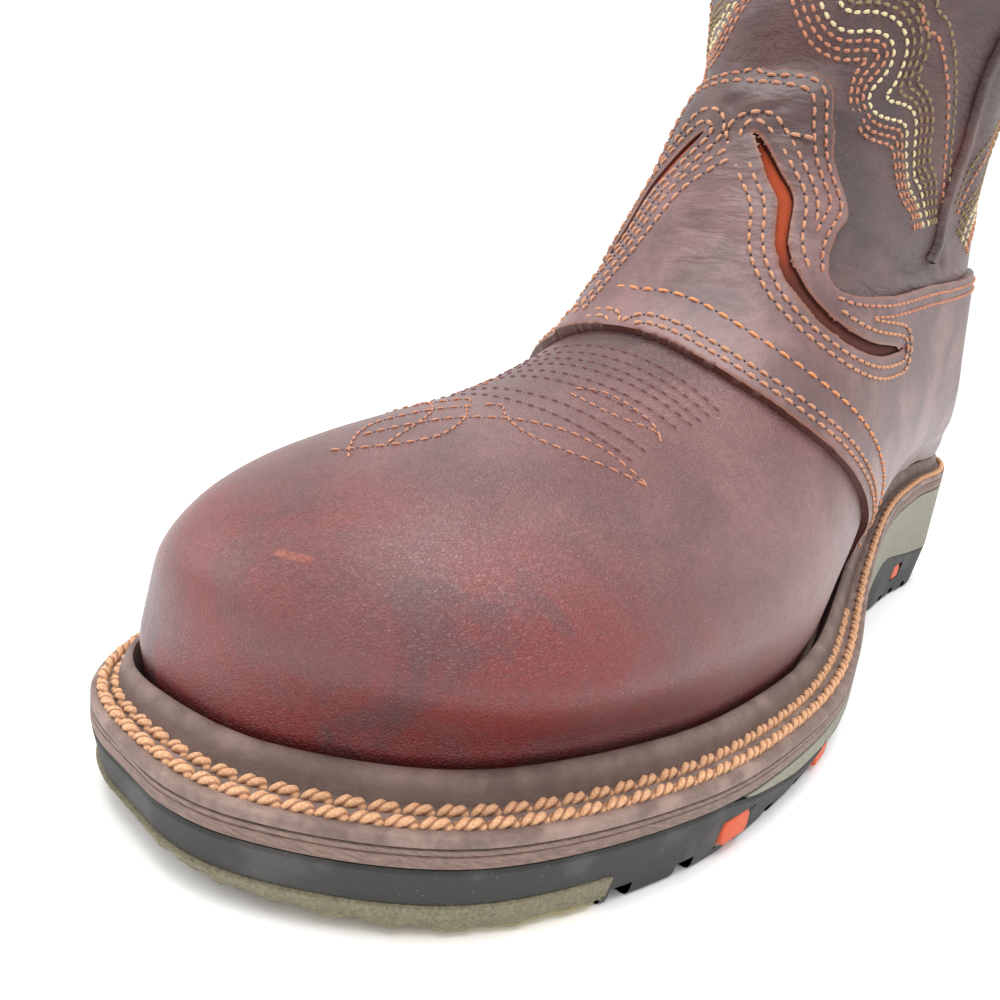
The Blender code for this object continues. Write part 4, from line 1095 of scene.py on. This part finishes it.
def overlay(name, field, thickness, look, extra):
    """The part of the skin where the field is positive, as a raised sheet
    with a rounded rim that goes down to the skin. Extra is more thickness."""
    points, normal = skin.reshape(-1, 3), skin_normal.reshape(-1, 3)
    faces, edges, ends, share = clip(skin_triangles, field)
    s = share[:, None]
    points = np.concatenate([points, points[ends[:, 0]] * (1 - s) + points[ends[:, 1]] * s])
    normal = np.concatenate([normal, normal[ends[:, 0]] * (1 - s) + normal[ends[:, 1]] * s])
    depth = np.concatenate([field, np.zeros(len(share))])
    soft = 1 - np.clip(1 - depth / 0.0010, 0, 1) ** 2
    extra = np.concatenate([extra, extra[ends[:, 0]] * (1 - share) + extra[ends[:, 1]] * share])
    high = GAP + thickness * (0.78 + 0.22 * soft) + extra
    used, back = np.unique(faces, return_inverse=True)
    faces = back.reshape(-1, 3)
    lookup = np.zeros(len(points), int)
    lookup[used] = np.arange(len(used))
    rim = lookup[edges]
    top = (points + normal * high[:, None])[used]
    low = (points + normal * 0.0001)[used]
    rim_points = np.unique(rim)
    slot = np.zeros(len(used), int)
    slot[rim_points] = np.arange(len(rim_points)) + len(used)
    quads = np.stack([rim[:, 1], rim[:, 0], slot[rim[:, 0]], slot[rim[:, 1]]], 1)
    spots = np.concatenate([top, low[rim_points]])
    obj = new_mesh(name, spots, face_list(faces, quads), look, 50)
    inward = np.concatenate([depth[used], np.full(len(rim_points), -0.001)]) * 1000
    carry(obj, "inward", np.clip(inward, -1, 40))
    return obj


def brown_leather(place):
    """Smooth brown leather, waxed, with a raw reddish edge and soft scuffs."""
    inward = place.field("inward")
    cloud = place.noise(0.05, 5.0, 0.6, 0.5)
    fine = place.noise(0.7, 5.0, 0.6)
    colour = cloud.shade(0.35, 0.68, (88, 62, 62), (124, 92, 90))
    colour = (fine.step(0.5, 0.75) * 0.30).mix(colour, tint(74, 48, 48))
    colour = (place.part("Z").step(112, 136) * 0.7).mix(colour, tint(52, 30, 27))
    colour = inward.step(0.9, 0.3).mix(colour, tint(120, 74, 58))
    colour = inward.step(0.12, 0.0).mix(colour, tint(74, 34, 26))
    fold = place.stretched(0.09, 0.09, 0.30).noise(1.0, 3.0, 0.5, 0.5)
    height = 0.14 * fine + 0.8 * fold * place.part("Z").step(85, 105) + 0.03 * place.noise(5.0, 2.0)
    return colour, 0.36 + 0.20 * fine, height


brown_look = finish("brown_leather", brown_leather, IOR=1.5, Coat_Weight=0.25, Coat_Roughness=0.42)
skin_points = skin.reshape(-1, 3)
front_gap, foot_gap, top_gap, slit_gap = edge_gaps(skin_points)
edge_gap = np.minimum(np.minimum(front_gap, foot_gap), top_gap)
in_quarter = in_polygon(skin_points[:, 1:], q_polygon)
q_field = np.minimum(np.where(in_quarter, edge_gap, -edge_gap), slit_gap)
SEAM = (
    (.100, -.147, 1.283), (.043, -.158, 1.261), (-.078, -.177, 1.200), (-.151, -.187, 1.150),
    (-.215, -.206, 1.060), (-.300, -.246, .918), (-.330, -.300, .780),
)
seam_path = laid(curve(np.array(SEAM) * size))[0]
seam_gap = distance_to(skin_points, seam_path)
seam_side = np.sign((skin_points[:, 0] / HALF_BALL - np.interp(
    -skin_points[:, 2], -seam_path[:, 2], seam_path[:, 0] / HALF_BALL)))
seam_side[skin_points[:, 2] > seam_path[0, 2]] = -1
ledge = 0.0008 * smooth(seam_side * seam_gap / 0.0009 + 0.5) * smooth((0.014 - seam_gap) / 0.012)
ledge[skin_points[:, 1] < -0.40 * HALF_LENGTH] = 0
quarter = overlay("quarter_leather", q_field, OVERLAY, brown_look, ledge)
settled(quarter, "quarter", "quarter")


def chains(edges, keep):
    """Cut edges joined end to end into lines of point numbers."""
    near = {}
    for a, b in edges.tolist():
        if keep[a] and keep[b]:
            near.setdefault(a, []).append(b)
            near.setdefault(b, []).append(a)
    lines = []
    for start in [k for k, v in near.items() if len(v) == 1] + list(near):
        line = [start]
        while near[line[-1]]:
            step = near[line[-1]].pop()
            near[step].remove(line[-1])
            line.append(step)
        if len(line) > 8:
            lines.append(line)
    return lines


def contour(field, value, inner, least):
    """Lines on the skin at one value of a field, with the way out at each
    point, where an inner field is over its least value."""
    _, edges, ends, share = clip(skin_triangles, field - value)
    s = share[:, None]
    spots, ways, deep = (v[ends[:, 0]] * (1 - s) + v[ends[:, 1]] * s
                         for v in (skin_points, skin_normal.reshape(-1, 3), inner[:, None]))
    return [np.column_stack([spots[line], ways[line]])
            for line in chains(edges - len(field), deep[:, 0] > least)]


def two_rows(field, values, least):
    """Rows of stitches at two distances from an edge of the quarter."""
    return [line for value, low in zip(values, least)
            for line in contour(field, value, q_field, low)]


def sew(name, slot, lines, lift, pitch, radius, look, fill=0.72, bow=0.4, rings=7, around=6,
        pierced=True):
    """Rows of stitches along lines of places and ways out, and a dark blob of
    painted shade in the needle hole between each two stitches where they are pierced."""
    threads, hole_shades = [], []
    for line in lines:
        if len(line) < 8:
            continue
        line = evenly(line, 0.0006)
        for _ in range(5):
            line[1:-1] = (line[:-2] + 2 * line[1:-1] + line[2:]) / 4
        line = evenly(line, pitch)
        ways = line[:, 3:] / np.linalg.norm(line[:, 3:], axis=1)[:, None]
        spots = line[:, :3] + ways * lift
        threads.append(stitches(spots, ways, radius, fill, rings, around, 0.10, bow))
        between = (spots[1:] + spots[:-1]) / 2 - (ways[1:] + ways[:-1]) / 2 * 0.0001
        # Painted shade: a small dark blob sunk into each needle hole.
        hole_shades.append(stitches(between, ways[1:], radius * 0.75, 0.20, 5, 5, 0, 0.0))
    settled(new_mesh(name, *joined(threads), look), slot)
    if pierced:
        settled(new_mesh(name + "_hole_shades", *joined(hole_shades), hole_shade_look), slot)


def thread_look(name, deep, pale):
    """Thread of one colour, darker between its fibres."""
    def build(place):
        fuzz = place.noise(3.5, 3.0, 0.6)
        return fuzz.step(0.35, 0.65).mix(deep, pale), 0.6 + 0.2 * fuzz, 0.08 * fuzz
    return finish(name, build)


tan_thread = thread_look("tan_thread", tint(166, 112, 84), tint(208, 156, 122))
orange_thread = thread_look("orange_thread", tint(190, 116, 70), tint(232, 160, 108))
brown_thread = thread_look("brown_thread", tint(156, 96, 72), tint(204, 146, 116))
# Painted shade for the needle holes between stitches.
hole_shade_look = thread_look("needle_hole_shade", tint(40, 22, 20), tint(58, 34, 30))
seat_lift = GAP + OVERLAY + 0.0001
sew("front_rows", "quarter", two_rows(front_gap, (0.0026, 0.0052), (0.0023, 0.0046)),
    seat_lift, 0.0030, 0.00040, tan_thread)
sew("front_row_far", "quarter", contour(front_gap, 0.0125, q_field, 0.0030), seat_lift,
    0.0036, 0.00036, orange_thread)
sew("top_rows", "quarter", two_rows(top_gap, (0.0022, 0.0048), (0.0019, 0.0042)),
    seat_lift, 0.0029, 0.00038, brown_thread)
sew("slit_rows", "quarter", two_rows(slit_gap, (0.0026, 0.0052), (0.0022, 0.0046)),
    seat_lift, 0.0030, 0.00040, tan_thread)
sew("seam_rows", "quarter", two_rows(np.where(seam_side > 0, seam_gap, -seam_gap),
                                     (0.0018, 0.0043), (0.0050, 0.0050)),
    seat_lift + 0.0007, 0.0030, 0.00038, tan_thread)


# Flex panels: orange felt-like gussets behind the two slits at the ankle.
def strip_on_skin(path, widths, lift, thickness, across=9):
    """A strip with rounded edges along a path on the skin, as a closed tube
    of rings: its top follows the skin and its sides roll down."""
    spots, ways = laid(path)
    ahead = np.gradient(spots, axis=0)
    aside = np.cross(ahead, ways)
    aside /= np.linalg.norm(aside, axis=1)[:, None]
    shares = np.sin(np.linspace(-math.pi / 2, math.pi / 2, across)) / 2
    rings = []
    for share in shares:
        flat, way = laid(spots + aside * (share * widths)[:, None])
        edge = np.sqrt(np.clip(1 - (2 * share) ** 8, 0, 1))
        rings.append(flat + way * (lift + thickness * edge))
    rings.append(laid(spots + aside * (0.5 * widths)[:, None])[0] + ways * lift * 0.3)
    rings.append(laid(spots - aside * (0.5 * widths)[:, None])[0] + ways * lift * 0.3)
    grid = np.array(rings).transpose(1, 0, 2)
    last = (len(grid) - 1) * (across + 2)
    return grid, face_list(grid_faces(len(grid), across + 2, True),
                           [range(across + 2), range(last, last + across + 2)])


def felt(place):
    """Orange felt, fuzzy, with painted shade low down in the deep slit."""
    fuzz = place.noise(3.5, 5.0, 0.8)
    colour = fuzz.shade(0.3, 0.7, (150, 52, 16), (200, 84, 36))
    # Painted shade: darker lower down, where the slit is deep.
    low = place.part("Z").step(1080 * INSTEP_HEIGHT, 960 * INSTEP_HEIGHT)
    colour = low.over(colour, (70, 26, 20), 0.9)
    return colour, 0.9 + 0.0 * fuzz, 0.5 * fuzz


felt_look = finish("orange_felt", felt)
for side, word in ((1, "outer"), (-1, "inner")):
    path = evenly(slit_paths[side], 0.002)[1:-1]
    rolled = strip_on_skin(path, along_slit(path) * SLIT_WIDTH * 1.25, 0.0004, 0.0006, 5)
    settled(new_mesh(f"gusset_{word}", *rolled, felt_look), "flex_panel", f"flex_panel_{word}")


# Heel strip: a strip of leather up the back of the heel, over the counter,
# with a small ledge for the spur. It is sewn along both edges.
HEEL_STRIP_WIDTH = 0.022
strip_low = float(profile(HALF_LENGTH, "midsole")) + MIDSOLE + WELT + BEAD_HEIGHT + 4 * GAP
strip_path = np.array([(-0.03 * HALF_BALL, 0.97 * HALF_LENGTH, z)
                       for z in np.linspace(strip_low, 1.26 * INSTEP_HEIGHT, 40)])
heel_strip = new_mesh("heel_strip_leather", *strip_on_skin(
    strip_path, np.full(40, HEEL_STRIP_WIDTH), GAP + OVERLAY, 0.0022, 15), ox_look, 60)
settled(heel_strip, "heel_strip", "heel_strip")


# Side seam piping: a folded strip of leather let into each side seam of the
# shaft, from the counter to the collar.
PIPING = (
    (.215, 1.09), (.236, 1.25), (.253, 1.37), (.250, 1.47), (.234, 1.55),
    (.226, 1.65), (.232, 1.85), (.252, 2.25), (.275, 2.66),
)
PIPING_WIDTH = 0.0036
for side, word in ((1, "outer"), (-1, "inner")):
    path = from_side(side, curve(np.array(PIPING) * size[1:], 0.002))
    rolled = strip_on_skin(path, np.full(len(path), PIPING_WIDTH), 0.0002, 0.0018, 7)
    settled(new_mesh(f"piping_{word}", *rolled, ox_look), "side_piping", f"side_piping_{word}")


# Top binding: a thin strip of dark leather folded over the collar's edge and
# sewn through with one row.
BINDING = 0.0012
BINDING_DROP = 0.0090


def collar_frame():
    """Points of the collar's edge with the way out and the way down."""
    edge, below = skin[-1, 1:], skin[-3, 1:]
    down = below - edge
    down /= np.linalg.norm(down, axis=1)[:, None]
    return edge, skin_normal[-1, 1:], down


def binding_rings():
    """The binding's folded section, a rounded hairpin, carried round the edge."""
    edge, out, down = collar_frame()
    outside, inside = 2 * GAP, -LEATHER - GAP
    middle, radius = (outside + inside) / 2, (outside - inside) / 2 + BINDING
    rings = [edge + out * outside + down * BINDING_DROP,
             edge + out * (outside + BINDING) + down * (BINDING_DROP - 0.0004),
             edge + out * (outside + BINDING) + down * 0.5 * BINDING_DROP]
    for a in np.linspace(0, math.pi, 9):
        rings.append(edge + out * (middle + radius * math.cos(a)) - down * (0.0013 * math.sin(a)))
    rings += [edge + out * (inside - BINDING) + down * 0.5 * BINDING_DROP,
              edge + out * (inside - BINDING) + down * (BINDING_DROP - 0.0004),
              edge + out * inside + down * BINDING_DROP]
    return np.array(rings)


def dark_leather(place):
    """Dark brown leather, fine grained."""
    fine = place.noise(0.9, 5.0, 0.6)
    colour = fine.shade(0.35, 0.7, (52, 32, 30), (84, 56, 52))
    return colour, 0.38 + 0.2 * fine, 0.25 * fine


folded = binding_rings()
binding = new_mesh("binding_leather", folded, grid_faces(len(folded), folded.shape[1], True),
                   finish("dark_leather", dark_leather))
settled(binding, "top_binding", "top_binding")


# Pull straps: two loops of brown webbing over the collar at the side seams,
# sewn down outside and inside.
STRAP_WIDTH = 0.028
STRAP_THICKNESS = 0.0020
STRAP_LEG = 0.040
STRAP_RISE = 0.016


def strap_grid(side):
    """The strap's middle surface: straight legs and a half circle over the
    collar, copied across its width along the collar's own edge."""
    edge, out, down = collar_frame()
    pick = edge[:, 0] * side > 0
    order = np.argsort(edge[pick][:, 1])
    over = 3 * GAP + BINDING + STRAP_THICKNESS / 2
    under = -LEATHER - 3 * GAP - BINDING - STRAP_THICKNESS / 2
    centre, radius = (over + under) / 2, (over - under) / 2
    legs = np.linspace(STRAP_LEG, 0, 14)
    arc = np.linspace(0, math.pi, 17)
    route = np.concatenate([
        np.column_stack([np.full(14, over), legs]),
        np.column_stack([centre + radius * np.cos(arc),
                         -(STRAP_RISE - radius) - radius * np.sin(arc)]),
        np.column_stack([np.full(14, under), legs[::-1]])])
    y = PIPING[-1][0] * HALF_LENGTH + np.linspace(-0.5, 0.5, 13) * STRAP_WIDTH
    place, away, drop = (np.stack([np.interp(y, edge[pick][order, 1], part[pick][order, k])
                                   for k in range(3)], 1) for part in (edge, out, down))
    return place[:, None] + away[:, None] * route[None, :, :1] + drop[:, None] * route[None, :, 1:]


def thick_sheet(grid, thickness):
    """A closed sheet: the grid moved both ways along its own normals."""
    way = np.cross(np.gradient(grid, axis=0), np.gradient(grid, axis=1))
    way /= np.linalg.norm(way, axis=2)[..., None]
    ring = np.concatenate([grid + way * thickness / 2, (grid - way * thickness / 2)[::-1]], 0)
    ring = ring.transpose(1, 0, 2)
    faces = face_list(grid_faces(ring.shape[0], ring.shape[1], True))
    half, count = grid.shape[0], ring.shape[1]
    for base in (0, (ring.shape[0] - 1) * count):
        faces += [(base + i, base + i + 1, base + count - 2 - i, base + count - 1 - i)
                  for i in range(half - 1)]
    return ring, faces


def webbing(place):
    """Brown webbing: fine ribs across and a twill along."""
    y, z = place.part("Y"), place.part("Z")
    rib = (y * 5.2).maths("SINE", y * 5.2) * 0.5 + 0.5
    twill = (z * 5.0 + y * 2.6).maths("SINE", z * 5.0 + y * 2.6) * 0.5 + 0.5
    colour = (rib * twill).mix(tint(58, 40, 34), tint(104, 78, 66))
    return colour, 0.8 + 0.0 * rib, 0.18 * rib + 0.15 * twill


web_look = finish("webbing", webbing)
for side, word in ((1, "outer"), (-1, "inner")):
    strap = new_mesh(f"strap_{word}", *thick_sheet(strap_grid(side), STRAP_THICKNESS), web_look, 50)
    settled(strap, "pull_strap", f"pull_strap_{word}")


# Toe stitching: a traditional fan of rows across the vamp with a leaf and two
# wings in front, in thin maroon and tan thread pulled into the soft leather.
TOE_MIDDLE = -0.13
LEAF = (
    (-.179, -.785), (-.141, -.774), (-.056, -.740), (-.004, -.702), (.001, -.678),
    (-.043, -.632), (-.105, -.604), (-.150, -.590),
)
WING_TOP = (
    (-.190, -.738), (-.142, -.685), (-.086, -.639), (-.012, -.611), (.098, -.583),
    (.244, -.561), (.377, -.554), (.526, -.553),
)
WING_LOW = (
    (-.100, -.580), (-.053, -.559), (-.018, -.577), (.075, -.600), (.183, -.609), (.315, -.597),
    (.423, -.576), (.526, -.553),
)
INNER_LEAF = (
    (.040, -.470), (.129, -.453), (.275, -.454), (.385, -.462), (.441, -.485), (.385, -.462),
    (.331, -.476), (.213, -.487), (.047, -.483),
)


def on_top(points, flip):
    """Places on the skin under points across and along, with the ways out."""
    p = np.array(points)
    if flip:
        p[:, 0] = 2 * TOE_MIDDLE - p[:, 0]
    path = curve(p * (HALF_BALL, HALF_LENGTH), 0.001)
    hits = [skin_tree.ray_cast(Vector((x, y, 0.095)), Vector((0, 0, -1)))[0] for x, y in path]
    return np.column_stack(laid([hit for hit in hits if hit is not None]))


maroon_thread = thread_look("maroon_thread", tint(74, 40, 42), tint(120, 78, 76))
rows_across = [on_top([(2 * TOE_MIDDLE - stop, along), (TOE_MIDDLE, along - 0.004),
                       (stop, along)], False) for along, _, stop in TOE_ROWS]
sew("toe_rows", "upper", rows_across, 0.0, 0.0030, 0.00026, maroon_thread, 0.60, 0.25)
figures = [on_top(figure, flip) for flip in (False, True)
           for figure in (LEAF, WING_TOP, WING_LOW, INNER_LEAF)]
sew("toe_figures", "upper", figures, 0.0001, 0.0026, 0.00022, brown_thread, 0.66, 0.25)


# Shaft stitching: a plain traditional scroll of echoed rows on each panel of
# the shaft, olive inside, cream in the middle and orange brown outside.
SCROLL = (
    (.20, -.070, 2.38), (.30, -.040, 2.30), (.36, -.015, 2.18), (.30, -.045, 2.08),
    (.20, -.085, 2.02), (.24, -.070, 1.92), (.34, -.030, 1.86), (.35, -.020, 1.76),
    (.27, -.058, 1.70), (.18, -.085, 1.66), (.190, -.082, 1.60), (.237, -.066, 1.562),
    (.284, -.048, 1.553), (.329, -.025, 1.566), (.378, .002, 1.567),
    (.405, .019, 1.555), (.422, .033, 1.531), (.420, .032, 1.492), (.408, .021, 1.454),
    (.388, .005, 1.423), (.384, -.001, 1.401), (.412, .023, 1.397), (.449, .056, 1.401),
    (.475, .082, 1.399), (.486, .093, 1.377), (.487, .096, 1.347), (.496, .105, 1.308),
    (.516, .120, 1.259), (.532, .148, 1.239), (.559, .163, 1.160),
)
SIDE_LINE = (
    (.45, .11, 2.30), (.46, .07, 2.05), (.44, .04, 1.80), (.471, .054, 1.61), (.510, .087, 1.59),
    (.541, .152, 1.48), (.559, .204, 1.337), (.580, .240, 1.237),
)


def echoes(points, side, back, pitch, numbers):
    """A path on one panel of the shaft and its copies at whole pitches to one
    side and the other, without the loops where they cross themselves."""
    p = np.array(points)
    p[:, 0] *= side
    if back:
        p[:, 1] = 0.54 - p[:, 1]
    base, ways = laid(curve(p * size, 0.001))
    aside = np.cross(np.gradient(base, axis=0), ways) * side * (-1 if back else 1)
    aside /= np.linalg.norm(aside, axis=1)[:, None]
    lines = []
    for number in numbers:
        moved = base + aside * number * pitch
        gap = np.linalg.norm(moved[:, None] - base[None], axis=2).min(1)
        lines.append(np.column_stack(laid(moved[gap > abs(number) * pitch * 0.93])))
    return lines


olive_thread = thread_look("olive_thread", tint(112, 92, 66), tint(156, 136, 100))
cream_thread = thread_look("cream_thread", tint(192, 174, 130), tint(232, 218, 176))
panels = [(side, back) for side in (1, -1) for back in (False, True)]
ROW_PITCH = 0.0019
for name, numbers, aline, look in (("olive", (-4, -3, -2), (-1,), olive_thread),
                                   ("cream", (-1, 0, 1), (0,), cream_thread),
                                   ("copper", (2, 3, 4), (1,), brown_thread)):
    rows = [row for line, own in ((SCROLL, numbers), (SIDE_LINE, aline))
            for side, back in panels for row in echoes(line, side, back, ROW_PITCH, own)]
    sew("scroll_" + name, "upper", rows, 0.0, 0.0024, 0.00042, look, 0.86, 0.4, 5, 5, False)


# Edge stitching: single rows along the heel strip, the top binding and the
# legs of the pull straps.
edges = [np.column_stack(laid(strip_path + side * (HEEL_STRIP_WIDTH / 2 - 0.0022) * AXES[0]))
         for side in (1, -1)]
sew("heel_strip_rows", "heel_strip", edges, GAP + OVERLAY + 0.0023, 0.0030, 0.00036, orange_thread)
edge, out, down = collar_frame()
around = np.column_stack([edge + down * 0.6 * BINDING_DROP, out])
sew("binding_row", "top_binding", [around], 2 * GAP + BINDING, 0.0028, 0.00032, brown_thread)
legs = []
for side in (1, -1):
    grid = strap_grid(side)
    for row in (grid[1, 1:14], grid[-2, 1:14], grid[1:-1, 1]):
        legs.append(np.column_stack([row, np.tile(side * AXES[0], (len(row), 1))]))
sew("strap_rows", "pull_strap", legs, STRAP_THICKNESS / 2, 0.0028, 0.00034, brown_thread)


# Floor, light and camera: a white sweep under a large soft box, and the
# photo's close view from the front and the outer side, rolled like it.
def white_floor(place):
    """Plain white paper."""
    flat = place.noise(0.001)
    return (flat * 0.0).mix(tint(250, 249, 249), tint(250, 249, 249)), 0.9 + 0.0 * flat, flat * 0.0


floor = new_mesh("floor", [(-9, -9, 0), (9, -9, 0), (9, 9, 0), (-9, 9, 0)], [(0, 1, 2, 3)],
                 finish("white_paper", white_floor))

world = bpy.data.worlds.new("studio")
bpy.context.scene.world = world
world.use_nodes = True
world.node_tree.nodes["Background"].inputs["Color"].default_value = (1, 1, 1, 1)
world.node_tree.nodes["Background"].inputs["Strength"].default_value = 1.06


def soft_box(name, at, to, size, power):
    """A square area light that faces a point."""
    light = bpy.data.lights.new(name, "AREA")
    light.size = size
    light.energy = power
    obj = bpy.data.objects.new(name, light)
    obj.location = at
    obj.rotation_mode = "QUATERNION"
    obj.rotation_quaternion = (Vector(to) - Vector(at)).to_track_quat("-Z", "Y")
    bpy.context.scene.collection.objects.link(obj)


soft_box("top_box", (0.1, -0.1, 1.4), (0, -0.05, 0.1), 1.2, 22)
soft_box("side_box", (-1.2, -0.9, 0.7), (0, -0.05, 0.1), 0.6, 6)

FOCAL_PIXELS = 839.6
PICTURE_PIXELS = 1000
camera_data = bpy.data.cameras.new("camera")
camera_data.sensor_width = 36
camera_data.lens = 36 * FOCAL_PIXELS / PICTURE_PIXELS
camera_data.clip_start = 0.005
camera = bpy.data.objects.new("camera", camera_data)
right = Vector((0.7536, 0.6454, 0.1246))
up = Vector((-0.2546, 0.1118, 0.9606))
ahead = Vector((-0.6061, 0.7556, -0.2486))
turn = Matrix((right, up, -ahead)).transposed().to_4x4()
camera.matrix_world = Matrix.Translation((0.0980, -0.2125, 0.0896)) @ turn
bpy.context.scene.collection.objects.link(camera)
bpy.context.scene.camera = camera
bpy.context.scene.view_settings.view_transform = "Standard"
